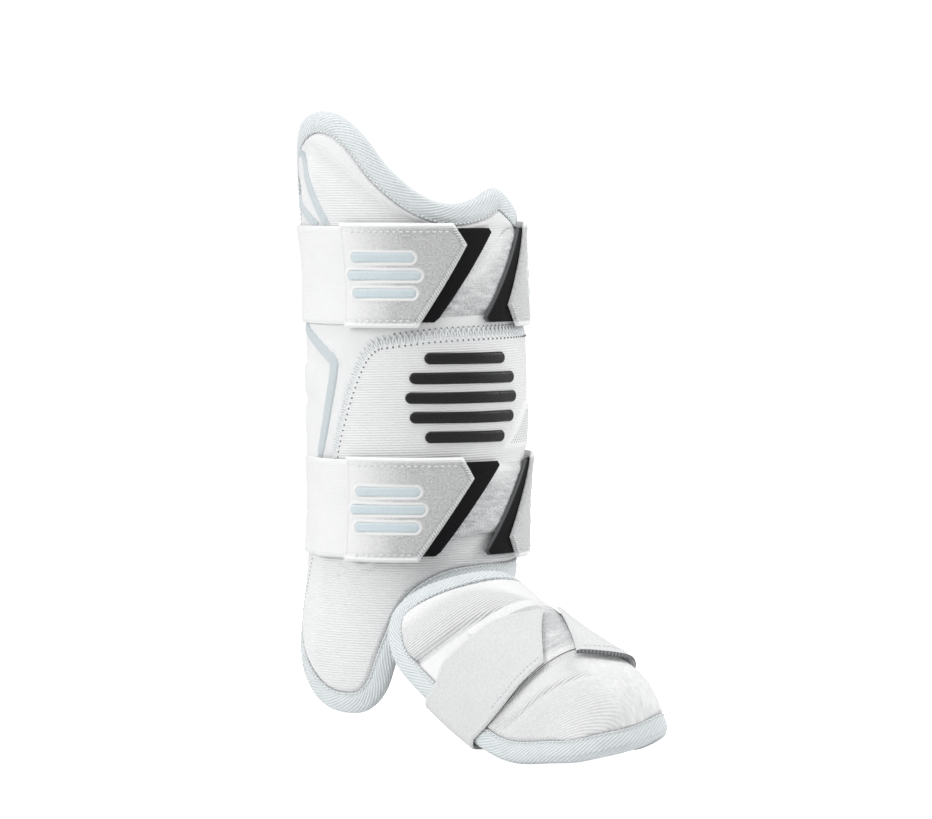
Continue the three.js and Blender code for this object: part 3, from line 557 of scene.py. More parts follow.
def curve_through(points, count):
    """Smooth path through a few points."""
    points = np.asarray(points, float)
    knots = {"at": lengths_of(points)}
    columns = []
    for axis in range(points.shape[1]):
        knots["value"] = points[:, axis]
        columns.append(smooth(knots, "at", "value", np.linspace(0, knots["at"][-1], count)))
    return np.stack(columns, -1)


def right_of(travel):
    """Directions to the right of flat directions."""
    return np.stack([travel[:, 1], -travel[:, 0]], -1)


def path_axes(path):
    """Directions along an open flat path and to its right."""
    travel = unit(np.gradient(path, axis=0))
    return travel, right_of(travel)


def offset_from(points, path):
    """Distance of flat points from an open path, positive on its right-hand side."""
    flat = points.reshape(-1, 2)
    best = np.full(len(flat), np.inf)
    signed = np.zeros(len(flat))
    for start, end in zip(path[:-1], path[1:]):
        along = end - start
        rel = flat - start
        t = np.clip(rel @ along / (along @ along), 0, 1)
        gap = rel - t[:, None] * along
        far = np.hypot(gap[:, 0], gap[:, 1])
        side = np.where(along[0] * rel[:, 1] - along[1] * rel[:, 0] > 0, -1.0, 1.0)
        nearer = far < best
        best = np.where(nearer, far, best)
        signed = np.where(nearer, far * side, signed)
    return signed.reshape(points.shape[:-1])


def edge_distance(points, outline):
    """Distance of points from a closed outline in two or three dimensions."""
    flat = points.reshape(-1, points.shape[-1])
    best = np.full(len(flat), np.inf)
    for start, end in zip(outline, np.roll(outline, -1, axis=0)):
        along = end - start
        rel = flat - start
        t = np.clip(rel @ along / max(along @ along, 1e-12), 0, 1)
        best = np.minimum(best, np.linalg.norm(rel - t[:, None] * along, axis=1))
    return best.reshape(points.shape[:-1])


def edge_spacing(count):
    """Shares from 0 to 1 that lie closer together toward both ends."""
    even = np.linspace(0, 1, count)
    return 0.45 * even + 0.55 * (0.5 - 0.5 * np.cos(math.pi * even))


def even_spacing(count):
    return np.linspace(0, 1, count)


def grid_shares(piece, spacing=even_spacing):
    """Shares from 0 to 1 along and across a piece's grid."""
    along, across = GRIDS[piece]
    return spacing(along)[:, None], spacing(across)[None, :]


def cloth_grid(*coordinates):
    """Cloth coordinates over a grid from coordinates that spread along or across it."""
    return np.stack(np.broadcast_arrays(*coordinates), -1)


def marked(flat, marks):
    """Flat cloth coordinates with a mark as the third."""
    return np.concatenate([flat, marks[..., None]], -1)


def grid_border(grid):
    """Values round the border of a grid, without the first again at the end."""
    return np.concatenate([grid[:, 0], grid[-1, 1:], grid[-2::-1, -1], grid[0, -2:0:-1]])


def quads(index):
    """Faces over a grid of vertex numbers."""
    corners = index[:-1, :-1], index[1:, :-1], index[1:, 1:], index[:-1, 1:]
    return np.stack(corners, -1).reshape(-1, 4)


def wall(top, bottom):
    """Closed wall between two grids: its points, its faces and how many faces are its top."""
    columns, rows = top.shape[:2]
    upper = np.arange(columns * rows).reshape(columns, rows)
    rim = grid_border(upper)
    under = rim + upper.size
    sides = np.stack([np.roll(rim, -1), rim, under, np.roll(under, -1)], -1)
    face, back = quads(upper), quads(upper + upper.size)[:, ::-1]
    points = np.concatenate([top.reshape(-1, 3), bottom.reshape(-1, 3)])
    return points, np.concatenate([face, sides, back]), len(face) + len(sides)


def ring(points):
    """Tube through rings of points and back to the first, where its two ends meet."""
    points = np.concatenate([points, points[:1]])
    index = np.arange(points.shape[0] * points.shape[1]).reshape(points.shape[:2])
    faces = quads(np.pad(index, ((0, 0), (0, 1)), mode="wrap")).tolist()
    return points.reshape(-1, 3), faces + [index[0].tolist(), index[-1, ::-1].tolist()]


def add_piece(name, points, faces, finishes, cloth, replaces=(), marks=None):
    """Makes a piece in the frame from points in millimetres, and rides it on the body."""
    mesh = bpy.data.meshes.new(name)
    mesh.from_pydata((np.asarray(points) * MM).tolist(), [], [list(map(int, f)) for f in faces])
    flat = np.zeros((len(points), 3))
    flat[:, : cloth.shape[-1]] = cloth.reshape(-1, cloth.shape[-1])
    attribute = mesh.attributes.new("cloth", "FLOAT_VECTOR", "POINT")
    attribute.data.foreach_set("vector", flat.astype(np.float32).ravel())
    for finish_made in finishes:
        mesh.materials.append(finish_made)
    if marks is not None:
        mesh.polygons.foreach_set("material_index", marks.astype(np.int32))
    mesh.shade_smooth()
    mesh.set_sharp_from_angle(angle=SHARP)
    piece = bpy.data.objects.new(name, mesh)
    bpy.context.scene.collection.objects.link(piece)
    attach(piece, "root")
    if replaces:
        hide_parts(*replaces)
    return piece


def add_wall(name, top, bottom, cloth, finishes, replaces):
    """Closed wall piece whose back may wear a second finish."""
    points, faces, back = wall(top, bottom)
    both = np.concatenate([cloth.reshape(-1, cloth.shape[-1])] * 2)
    marks = np.arange(len(faces)) >= back if len(finishes) > 1 else None
    return add_piece(name, points, faces, finishes, both, replaces, marks)


def add_threads(name, ends, thread, radius=None):
    """Arched stitches between pairs of points with their normals, as one piece."""
    starts, stops, normals = ends
    arch = STITCHES[name]["arch"]
    if radius is None:
        radius = size("thread") * STITCHES[name]["thick"]
    run = stops - starts
    along = unit(run)
    side = unit(np.cross(normals, along))
    up = np.cross(along, side)
    turn = np.linspace(0, 2 * math.pi, THREAD_SIDES, endpoint=False)
    points = []
    for share, wide, lift in THREAD_RINGS:
        centre = starts + run * share + up * (arch * lift)
        for a in turn:
            points.append(centre + radius * wide * (side * math.cos(a) + up * math.sin(a)))
    count, rings = len(starts), len(THREAD_RINGS)
    points = np.stack(points, 1)
    index = np.arange(rings * THREAD_SIDES).reshape(rings, THREAD_SIDES)
    faces = quads(np.pad(index, ((0, 0), (0, 1)), mode="wrap"))[:, ::-1]
    caps = [index[0].tolist(), index[-1][::-1].tolist()]
    every = []
    for k in range(count):
        base = k * rings * THREAD_SIDES
        every += (faces + base).tolist()
        every += [[v + base for v in cap] for cap in caps]
    cloth = np.repeat(np.array([s for s, _, _ in THREAD_RINGS]), THREAD_SIDES)
    cloth = np.tile(np.stack([cloth, np.tile(turn, rings)], -1), (count, 1))
    return add_piece(name, points.reshape(-1, 3), every, [finish(thread)], cloth)


def stitch_row(name, path, normals, pitch):
    """Starts, stops and normals of stitches set along a path."""
    lengths = lengths_of(path)
    count = max(2, round(lengths[-1] / pitch))
    places = np.linspace(0, lengths[-1], count, endpoint=False)
    stops = resample(path, places + pitch * STITCHES[name]["share"])
    leans = np.stack([np.interp(places, lengths, column) for column in normals.T], -1)
    return resample(path, places), stops, leans


def join_rows(rows):
    return [np.concatenate(parts) for parts in zip(*rows)]


class Finish:
    """Node material that works in a piece's own cloth coordinates, in millimetres."""

    def __init__(self, name, colour, roughness, sheen=0.0, specular=0.35):
        self.material = bpy.data.materials.new(name)
        self.material.use_nodes = True
        self.material.diffuse_color = (*colour, 1)
        self.tree = self.material.node_tree
        self.shader = self.tree.nodes["Principled BSDF"]
        self.shader.inputs["Roughness"].default_value = roughness
        self.shader.inputs["Specular IOR Level"].default_value = specular
        self.shader.inputs["Sheen Weight"].default_value = sheen
        self.shader.inputs["Sheen Roughness"].default_value = 0.5
        self.colour = colour
        self.coords = self.node("ShaderNodeAttribute", attribute_name="cloth").outputs["Vector"]

    def node(self, kind, inputs=(), **settings):
        made = self.tree.nodes.new(kind)
        for key, value in settings.items():
            setattr(made, key, value)
        for key, value in dict(inputs).items():
            self.put(made.inputs[key], value)
        return made

    def put(self, socket, value):
        if isinstance(value, bpy.types.NodeSocket):
            self.tree.links.new(value, socket)
        else:
            socket.default_value = value

    def math(self, operation, *values):
        return self.node("ShaderNodeMath", enumerate(values), operation=operation).outputs[0]

    def wave(self, direction):
        """Wave from 0 to 1 along a direction, whose length is the turn for each unit of cloth."""
        made = self.node(
            "ShaderNodeVectorMath", {0: self.coords, 1: direction}, operation="DOT_PRODUCT")
        return self.math("MULTIPLY_ADD", self.math("SINE", made.outputs["Value"]), 0.5, 0.5)

    def ribs(self, pitch, degrees):
        """Wave from 0 to 1 across lines that lean by an angle from the cloth's length."""
        turn = 2 * math.pi / pitch
        lean = math.radians(degrees)
        return self.wave((-math.sin(lean) * turn, math.cos(lean) * turn, 0))

    def weave(self, pitch, degrees=0):
        return self.math("MULTIPLY", self.ribs(pitch, degrees), self.ribs(pitch, degrees + 90))

    def noise(self, size, detail=2.0, coords=None, roughness=0.5):
        """Noise from 0 to 1 whose lumps are about a size in millimetres."""
        made = self.node("ShaderNodeTexNoise", {
            "Vector": coords or self.coords, "Scale": 1 / size, "Detail": detail,
            "Roughness": roughness})
        return made.outputs["Fac"]

    def cells(self, size):
        """Distance from the middles of cells of about a size in millimetres."""
        made = self.node("ShaderNodeTexVoronoi", {"Vector": self.coords, "Scale": 1 / size})
        return made.outputs["Distance"]

    def total(self, *parts):
        """Weighted sum of pairs of a socket and a share."""
        result = None
        for socket, share in parts:
            if result is None:
                result = self.math("MULTIPLY", socket, share)
            else:
                result = self.math("MULTIPLY_ADD", socket, share, result)
        return result

    def mask(self):
        """Third cloth coordinate, which marks places of a piece."""
        return self.node("ShaderNodeSeparateXYZ", {0: self.coords}).outputs["Z"]

    def faded(self, wave, share):
        """Wave that flattens to its middle where a share is 1."""
        return self.math("MULTIPLY_ADD", self.math("SUBTRACT", wave, 0.5),
                         self.math("SUBTRACT", 1.0, share), 0.5)

    def blend(self, factor, low, high):
        """Colour between two colours by a factor."""
        made = self.node("ShaderNodeMix", data_type="RGBA", clamp_factor=True)
        self.put(made.inputs["Factor"], factor)
        self.put(made.inputs["A"], low)
        self.put(made.inputs["B"], high)
        return made.outputs["Result"]

    def tint(self, factor, dark, light):
        """Colours the surface from a darker to a lighter tone of the cloth by a factor."""
        low = [c * d for c, d in zip(self.colour, dark)]
        high = [c * d for c, d in zip(self.colour, light)]
        self.tone = self.blend(factor, (*low, 1), (*high, 1))
        self.put(self.shader.inputs["Base Color"], self.tone)

    def cover(self, factor, second):
        """Lays a second colour over the first by a factor."""
        self.tone = self.blend(factor, self.tone, (*second, 1))
        self.put(self.shader.inputs["Base Color"], self.tone)

    def bump(self, height, depth):
        """Relief of a height socket, with its depth in millimetres."""
        made = self.node("ShaderNodeBump", {"Height": height, "Distance": depth * MM})
        self.put(self.shader.inputs["Normal"], made.outputs["Normal"])


def ribbed_cloth(name, tone, pitch, degrees):
    """White cloth with fine ribs, painted shade in their valleys, plain where marked, and a little soiling.
    """
    made = Finish(name, tone, 0.86, sheen=0.25)
    ribs = made.faded(made.ribs(pitch, degrees), made.mask())
    grain = made.noise(0.7)
    drift = made.noise(34, 3)
    # The ribs darken the tone in their valleys: painted shade.
    shade = made.total((ribs, 0.6), (grain, 0.2), (drift, 0.35))
    made.tint(shade, (0.85, 0.855, 0.86), (1.03, 1.03, 1.03))
    made.bump(made.total((ribs, 0.75), (grain, 0.25)), 0.3)
    return made.material


def twill_tape(name, tone, pitch):
    """Twill tape with slanted ribs, painted shade in its furrows and a painted highlight on its crests."""
    made = Finish(name, tone, 0.78, sheen=0.2)
    ribs = made.ribs(pitch, 28)
    fine = made.ribs(0.8, -52)
    wear = made.noise(9, 3)
    # The ribs' share of the tone is painted shade in the furrows and a painted highlight on the crests.
    shade = made.total((ribs, 0.75), (fine, 0.1), (wear, 0.35))
    made.tint(shade, (0.78, 0.80, 0.81), (1.14, 1.11, 1.09))
    made.bump(made.total((ribs, 0.85), (fine, 0.12), (wear, 0.15)), 0.42)
    return made.material


def brushed_cloth(name, tone, clean):
    """Brushed tab cloth with a speckled nap, white where marked and painted shade where marked below 0; the
    white is clean on hems and rims and a painted highlight toward the rear end, and both painted marks are
    in part the cloth's own tone.
    """
    made = Finish(name, tone, 0.92, sheen=0.3)
    nap = made.noise(1.15, 4, roughness=0.75)
    patch = made.noise(5, 3)
    drift = made.noise(40, 2)
    shade = made.total((nap, 2.4), (patch, 0.3), (drift, 0.2))
    made.tint(made.math("SUBTRACT", shade, 0.95), (0.6, 0.605, 0.61), (1.22, 1.22, 1.22))
    # Painted shade toward the slanted end, in part the cloth's own darker tone.
    shaded_end = made.math("MULTIPLY", made.math("MULTIPLY", made.mask(), -1.5), nap)
    made.cover(shaded_end, [0.45 * c for c in tone])
    # White where marked: clean hems and bar rims, and a painted highlight toward the rear end.
    made.cover(made.mask(), clean)
    made.bump(made.total((nap, 0.9), (patch, 0.3)), 0.26)
    return made.material


def loop_cloth(name, tone, clean):
    """Silver loop cloth whose crushed loops catch the light, with white laid over it where marked: a
    painted highlight on the calf loops, and paler rims on the foot loop.
    """
    made = Finish(name, tone, 0.6, sheen=0.5, specular=0.6)
    loops = made.cells(0.9)
    brushed = made.node("ShaderNodeMapping", {
        "Vector": made.coords, "Rotation": (0, 0, math.radians(-38)), "Scale": (0.35, 1.3, 1)})
    crush = made.noise(4, 4, coords=brushed.outputs[0], roughness=0.65)
    drift = made.noise(18, 2)
    shade = made.total((loops, 0.45), (crush, 1.4), (drift, 0.4))
    made.tint(made.math("SUBTRACT", shade, 0.62), (0.5, 0.51, 0.52), (1.6, 1.58, 1.56))
    # White where marked: a painted highlight on the calf loops, and paler rims on the foot loop.
    made.cover(made.mask(), clean)
    made.put(made.shader.inputs["Roughness"], made.total((crush, 0.35), (loops, 0.5)))
    made.bump(made.total((loops, 0.7), (crush, 0.7)), 0.5)
    return made.material


def woven_elastic(name, tone):
    """Woven elastic with fine lengthwise cords."""
    made = Finish(name, tone, 0.8, sheen=0.25)
    cords = made.ribs(1.15, 0)
    picks = made.ribs(1.6, 90)
    drift = made.noise(26, 3)
    shade = made.total((cords, 0.4), (picks, 0.2), (drift, 0.5))
    made.tint(shade, (0.90, 0.903, 0.905), (1.03, 1.03, 1.03))
    made.bump(made.total((cords, 0.6), (picks, 0.35)), 0.14)
    return made.material


def strap_cloth(name, tone):
    """Close soft elastic of the foot strap."""
    made = Finish(name, tone, 0.88, sheen=0.35)
    nap = made.noise(1.8, 3, roughness=0.65)
    picks = made.weave(1.2, 8)
    drift = made.noise(22, 3)
    shade = made.total((nap, 1.4), (picks, 0.25), (drift, 0.4))
    made.tint(made.math("SUBTRACT", shade, 0.55), (0.84, 0.843, 0.846), (1.09, 1.09, 1.09))
    made.bump(made.total((nap, 0.6), (picks, 0.4)), 0.16)
    return made.material


def dark_braid(name, tone):
    """Close dark braid along the strap's edge, also used as painted shadow under the inner end's lifted
    edge.
    """
    made = Finish(name, tone, 0.8)
    plait = made.ribs(1.8, 60)
    grain = made.noise(0.7)
    made.tint(made.total((plait, 0.7), (grain, 0.4)), (0.5, 0.5, 0.5), (1.9, 1.9, 1.9))
    made.bump(plait, 0.3)
    return made.material


def hook_plastic(name, tone, edge):
    """Black moulded hooks in close rows, with a painted highlight on a marked edge."""
    made = Finish(name, tone, 0.7, specular=0.1)
    rows = made.weave(1.3, 32)
    grain = made.noise(1.6, 3)
    made.tint(made.total((rows, 0.6), (grain, 0.5)), (0.6, 0.6, 0.6), (2.4, 2.4, 2.5))
    # Painted highlight in the paler edge colour where marked.
    made.cover(made.mask(), edge)
    made.bump(made.total((rows, 0.9), (grain, 0.4)), 0.3)
    return made.material


def print_rubber(name, tone, gain):
    """Raised rubber print with a fine pebbled skin."""
    made = Finish(name, tone, 0.5, specular=0.28)
    pebble = made.cells(0.8)
    drift = made.noise(7, 3)
    made.tint(made.total((pebble, 0.5), (drift, 0.6)), (1 / gain,) * 3, (gain,) * 3)
    made.put(made.shader.inputs["Roughness"], made.total((drift, 0.3), (pebble, 0.5)))
    made.bump(pebble, 0.12)
    return made.material


def spun_thread(name, tone):
    """Twisted sewing thread."""
    made = Finish(name, tone, 0.7, sheen=0.2)
    ply = made.wave(THREAD_TWIST)
    made.tint(ply, (0.84, 0.85, 0.86), (1.04, 1.04, 1.04))
    made.bump(ply, 0.08)
    return made.material


def mesh_lining(name, tone):
    """Open lining mesh with round holes over grey foam."""
    made = Finish(name, tone, 0.85, sheen=0.15)
    holes = made.cells(2.4)
    thread = made.noise(0.8, 2)
    open_part = made.math("MULTIPLY", made.math("SUBTRACT", 0.75, holes), 1.6)
    shade = made.total((open_part, -0.55), (thread, 0.25))
    made.tint(made.math("ADD", shade, 0.85), (0.62, 0.63, 0.64), (1.06, 1.06, 1.06))
    made.bump(made.math("SUBTRACT", holes, made.math("MULTIPLY", thread, 0.1)), 0.5)
    return made.material


def vent_cloth(name, tone):
    """Smooth patch with a window of dark pin holes where marked."""
    made = Finish(name, tone, 0.75, sheen=0.2)
    holes = made.weave(2.1, 45)
    deep = made.math("MULTIPLY", made.math("GREATER_THAN", holes, 0.42), made.mask())
    grain = made.noise(1.2)
    shade = made.math("SUBTRACT", made.math("MULTIPLY_ADD", grain, 0.3, 0.8), deep)
    made.tint(shade, (0.42, 0.43, 0.44), (1.03, 1.03, 1.03))
    made.bump(made.math("SUBTRACT", made.math("MULTIPLY", grain, 0.15), deep), 0.4)
    return made.material


def foot_cloth(name, tone, pitch, clean):
    """Cloth of the foot pad: ribs, small lumps where marked above 0, smooth where below 0, with painted
    shade in the valleys of the ribs and lumps.
    """
    made = Finish(name, tone, 0.86, sheen=0.25)
    place = made.mask()
    ribs = made.faded(made.ribs(pitch, 0), made.math("ABSOLUTE", place))
    lumps = made.math("MULTIPLY", made.noise(2.4, 2), 2.0)
    toe = made.math("MAXIMUM", place, 0.0)
    grain = made.noise(0.8)
    drift = made.noise(30, 3)
    relief = made.math("MULTIPLY_ADD", made.math("SUBTRACT", lumps, 1.0), toe, ribs)
    # The relief darkens the tone in its valleys: painted shade.
    shade = made.total((relief, 0.7), (grain, 0.2), (drift, 0.35))
    made.tint(shade, (0.68, 0.685, 0.69), (1.02, 1.02, 1.02))
    made.cover(made.math("MULTIPLY", toe, 0.35), clean)
    made.cover(made.math("MULTIPLY", place, -1.0), clean)
    made.bump(made.total((relief, 0.75), (grain, 0.25)), 0.5)
    return made.material


def needle_holes(name):
    """Dark spots in the needle holes: painted shade."""
    made = Finish(name, NEEDLE_HOLE_SHADE, 0.9)
    made.tint(made.noise(0.4), (0.7, 0.7, 0.7), (1.2, 1.2, 1.2))
    return made.material


MAKERS = {
    "shell": lambda: ribbed_cloth("shell_cloth", colour("cloth"), size("rib_pitch"), 0),
    "panel": lambda: ribbed_cloth("panel_cloth", colour("cloth"), size("rib_pitch"), 1.5),
    "foot": lambda: foot_cloth("foot_cloth", colour("cloth"), size("rib_pitch"), colour("hem")),
    "lining": lambda: mesh_lining("lining_mesh", colour("lining")),
    "tape": lambda: twill_tape("edge_tape", colour("tape"), size("twill_pitch")),
    "stripe": lambda: woven_elastic("stripe_cloth", colour("stripe")),
    "tab": lambda: brushed_cloth("tab_cloth", colour("tab"), colour("hem")),
    "strap": lambda: strap_cloth("strap_cloth", colour("strap")),
    "braid": lambda: dark_braid("strap_braid", colour("braid")),
    "elastic": lambda: woven_elastic("woven_elastic", colour("elastic")),
    "loop": lambda: loop_cloth("loop_cloth", colour("loop"), colour("hem")),
    # The hooks' painted highlight takes the braid colour.
    "hook": lambda: hook_plastic("hook_plastic", colour("hook"), colour("braid")),
    "dark": lambda: print_rubber("front_bars", colour("dark"), 1.6),
    "pale": lambda: print_rubber("tab_bars", colour("pale"), 1.08),
    "thread": lambda: spun_thread("sewing_thread", colour("thread")),
    "seam": lambda: spun_thread("seam_thread", colour("seam")),
    "vent": lambda: vent_cloth("vent_cloth", colour("cloth")),
    "holes": lambda: needle_holes("needle_holes"),
}
FINISHES = {}


def finish(name):
    """Makes each finish once."""
    if name not in FINISHES:
        FINISHES[name] = MAKERS[name]()
    return FINISHES[name]


def top_edge(angle):
    return smooth(TOP_EDGE, "angle", "z", angle)


def bottom_edge(angle):
    return smooth(BOTTOM_EDGE, "angle", "z", angle)


def flat_leg(angle, z):
    """Place on the shell laid flat, in millimetres."""
    angle, z = np.broadcast_arrays(np.asarray(angle, float), np.asarray(z, float))
    return np.stack([angle / DEGREES_PER_MM, z], -1)


def on_leg(flat, lift):
    return leg_point(flat[..., 0] * DEGREES_PER_MM, flat[..., 1], lift)


def flat_normal(flat):
    return leg_normal(flat[..., 0] * DEGREES_PER_MM, flat[..., 1])


def flat_curve(places, count):
    """Smooth path on the flat shell through places given as angle and height."""
    return curve_through(flat_leg(*np.array(places, float).T), count)


def shell_outline(count):
    """Evenly spaced outline of the shell laid flat, from the inner side under the upper strap."""
    angles = np.linspace(TOP_EDGE["angle"][0], TOP_EDGE["angle"][-1], 400)
    over = flat_leg(angles, top_edge(angles))
    under = flat_leg(angles[::-1], bottom_edge(angles[::-1]))
    even = spread(np.concatenate([over, under, over[:1]]), count, closed=True)
    start = np.argmin(np.abs(even[:, 1] - STRAPS["upper"]["z"]) + (even[:, 0] - even[:, 0].min()))
    return np.roll(even, -start, axis=0)


def crease_gap(flat):
    """Distance from the crease below the top edge, negative above it."""
    return offset_from(flat, flat_curve(TOP_CREASE, 60))


def crease_sink(flat):
    """Lift of the cloth along the crease, below 0."""
    gap = crease_gap(flat)
    dip = step(*CREASE_DIP["above"], gap) * step(*CREASE_DIP["below"], gap)
    return -CREASE_DIP["depth"] * dip * step(*CREASE_FROM, flat[..., 1])


def shell_relief(flat, edge):
    """Lift of the shell's cloth off the padded face: hem, creases, folds and padded blocks."""
    angle, z = flat[..., 0] * DEGREES_PER_MM, flat[..., 1]
    lift = crease_sink(flat) - HEM_SINK * (1 - step(*HEM_ROLL, edge))
    for fold in FLAP_FOLDS:
        lift = lift + humps(offset_from(flat, flat_curve(fold, 16)), FLAP_FOLD)
    clear = step(HEM_ROLL[1] - BLOCK_CLEAR, HEM_ROLL[1], edge)
    for start, end, low, high in SIDE_BLOCKS:
        inside = np.minimum.reduce([
            (angle - start) / DEGREES_PER_MM, (end - angle) / DEGREES_PER_MM, z - low, high - z])
        lift = lift + size("quilting") * step(*BLOCK_ROLL, inside) * clear
    welts = humps(offset_from(flat, flat_curve(STRIPES["side_stripe"], 60)), STRIPE_WELTS)
    return lift + welts * step(*WELT_TOP, z)


def build_shell():
    """Padded shell with its lining and the stitched line on its flap."""
    along, row = grid_shares("shell", edge_spacing)
    angle = mix(TOP_EDGE["angle"][0], TOP_EDGE["angle"][-1], along)
    z = mix(bottom_edge(angle), top_edge(angle), row)
    flat = flat_leg(angle, z)
    outline = shell_outline(OUTLINES["shell"])
    edge = edge_distance(flat, outline)
    top = on_leg(flat, shell_relief(flat, edge))
    channel = np.abs(np.sin(math.pi * flat[..., 0] / LINING_CHANNEL["pitch"])) ** LINING_CHANNEL["power"]
    channel = LINING_CHANNEL["depth"] * channel * step(*LINING_CHANNEL["edge"], edge)
    inner = mix(-HEM_SINK - HEM, -PAD, step(*HEM_ROLL, edge)) - channel
    plain = np.maximum.reduce([
        step(*PLAIN_TOP, crease_gap(flat)) * step(*CREASE_FROM, z),
        PLAIN_SIDE["share"] * step(*PLAIN_SIDE["angle"], flat[..., 0] * DEGREES_PER_MM),
        step(*PLAIN_MIDDLE, np.abs(z))])
    piece = add_wall("shell_pad", top, on_leg(flat, inner), marked(flat, plain),
                     [finish("shell"), finish("lining")], ["shin_shell"])
    line = flat_curve(FLAP_STITCHES, 80)
    lift = shell_relief(line, edge_distance(line, outline))
    row = stitch_row("flap_stitches", on_leg(line, lift), flat_normal(line), FLAP_PITCH)
    add_threads("flap_stitches", row, "stripe")


def tape_section():
    """Closed section of folded tape: distance in from the edge, lift, and length round it."""
    face, back = TAPE_GAP - HEM_SINK, -HEM_SINK - HEM - TAPE_BACK_GAP
    crest, base = face + TAPE, back - TAPE
    middle, half = (crest + base) / 2, (crest - base) / 2
    wide, drop, corner = TAPE_RIM["width"], TAPE_RIM["drop"], TAPE_RIM["round"]
    inward = np.linspace(TAPE_WIDTH - corner, 0.4, 10)
    puff = TAPE_PUFF * np.sin(np.pi * inward / TAPE_WIDTH) + humps(TAPE_WIDTH - inward, TAPE_FURROW)
    over = np.stack([inward, crest + puff - drop * step(TAPE_WIDTH - wide, TAPE_WIDTH, inward)], -1)
    turn = np.radians(np.linspace(90, -90, 11))
    fold = np.stack([-(TAPE_ROOM + TAPE) * np.cos(turn), middle + half * np.sin(turn)], -1)
    under = np.stack([inward[::-1], base - puff[::-1] / 2], -1)
    rim = [(TAPE_WIDTH, base + corner), (TAPE_WIDTH, back)]
    inside = [(-TAPE_ROOM, back), (-TAPE_ROOM, face), (TAPE_WIDTH - wide, face),
              (TAPE_WIDTH, face - drop), (TAPE_WIDTH, crest - drop - corner)]
    section = np.concatenate([over, fold, under, rim, inside])
    return section, lengths_of(section)


def shell_tape_place(outline, inward):
    """Places on the flat shell at distances in from its outline."""
    across = right_of(unit(np.roll(outline, -1, axis=0) - np.roll(outline, 1, axis=0)))
    return outline[:, None, :] + across[:, None, :] * np.asarray(inward)[None, :, None]


def evened(values, reach):
    """Values round a closed line, each mixed with its neighbours."""
    shares = hump(np.arange(-2 * reach, 2 * reach + 1), 0, reach)
    shares /= shares.sum()
    return sum(share * np.roll(values, k - 2 * reach, axis=0) for k, share in enumerate(shares))


def foot_outline(count):
    """Evenly spaced outline of the foot pad as reach and across, from its outer side under the strap."""
    share = np.linspace(0, 1, 240, endpoint=False)
    front = FOOT_TOE["tip"] - FOOT_TOE["blunt"]
    side = mix(heel_reach(1.0), front, np.sin(share * math.pi / 2))
    back = mix(heel_reach(1.0), front, np.sin((1 - share) * math.pi / 2))
    toe = mix(toe_share(front, 1), -toe_share(front, -1), share)
    places = np.concatenate([
        np.stack([heel_reach(2 * share - 1), 2 * share - 1], -1),
        np.stack([side, toe_share(side, 1)], -1),
        np.stack([np.full_like(share, front), toe], -1),
        np.stack([back, -toe_share(back, -1)], -1)])
    closed = np.concatenate([places, places[:1]])
    lengths = lengths_of(foot_face(closed[:, 0], closed[:, 1]))
    at = np.linspace(0, lengths[-1], count, endpoint=False)
    even = np.stack([np.interp(at, lengths, closed[:, k]) for k in (0, 1)], -1)
    rounded = evened(even, round(FOOT_ROUND / lengths[-1] * count))
    off_seam = np.where(rounded[:, 1] > 0, np.abs(rounded[:, 0] - FOOT_SEAM), np.inf)
    return np.roll(rounded, -np.argmin(off_seam), axis=0)


def foot_tape_points(outline, inward, lift):
    """Points of the foot tape at distances in from the pad's outline."""
    reach, across = outline.T
    rim = evened(foot_face(reach, across), TAPE_EVEN)
    off = unit(evened(foot_axes(reach, across)[2], TAPE_EVEN))
    travel = np.roll(rim, -1, axis=0) - np.roll(rim, 1, axis=0)
    flat = rim + unit(np.cross(travel, off)) * inward
    if inward <= 0:
        return flat + off * lift
    return foot_point(*foot_near(flat, reach, across), lift)


def add_tape(name, rings, edge, around, node):
    """One tape from rings of points round its section, with its cloth measured along an edge."""
    along = lengths_of(np.concatenate([edge, edge[:1]]))
    points, faces = ring(rings)
    cloth = cloth_grid(along[:, None], around[None, :])
    add_piece(name, points, faces, [finish("tape")], cloth, [node])


def build_tapes():
    """Twill tape folded round the edges of the shell and the foot pad, with its stitches."""
    section, around = tape_section()
    stitch_in = TAPE_WIDTH - TAPE_STITCH["in"]
    crest = TAPE_GAP - HEM_SINK + TAPE + TAPE_STITCH["rise"]
    pitch = size("stitch_pitch")
    outline = shell_outline(OUTLINES["shell_tape"])
    place = shell_tape_place(outline, section[:, 0])
    add_tape("shell_tape", on_leg(place, section[None, :, 1]), outline, around, "shin_binding")
    sewn = shell_tape_place(outline, [stitch_in])[:, 0]
    shell_row = stitch_row("tape_stitches", on_leg(sewn, crest), flat_normal(sewn), pitch)
    outline = foot_outline(OUTLINES["foot_tape"])
    rings = np.stack([foot_tape_points(outline, inward, lift) for inward, lift in section], 1)
    add_tape("foot_tape", rings, foot_face(*outline.T), around, "foot_binding")
    sewn = foot_tape_points(outline, stitch_in, crest)
    away = foot_tape_points(outline, stitch_in, crest + 1) - sewn
    foot_row = stitch_row("tape_stitches", sewn, away, pitch)
    add_threads("tape_stitches", join_rows([shell_row, foot_row]), "thread")


def panel_place(column, row):
    """Angle and height on the front panel by shares of its width and height."""
    column, row = np.broadcast_arrays(np.asarray(column, float), np.asarray(row, float))
    rough = mix(PANEL_BOTTOM["z"][0], PANEL_TOP["z"][1], row)
    side = smooth(PANEL_SIDE, "z", "angle", rough)
    angle = mix(side, PANEL_OUTER, column)
    low = smooth(PANEL_BOTTOM, "angle", "z", angle)
    high = smooth(PANEL_TOP, "angle", "z", angle)
    short = np.clip(1 - (angle - side) / DEGREES_PER_MM / PANEL_ROUND["wide"], 0, 1)
    return angle, mix(low, high, row) - PANEL_ROUND["deep"] * short**2 * row ** PANEL_ROUND["power"]


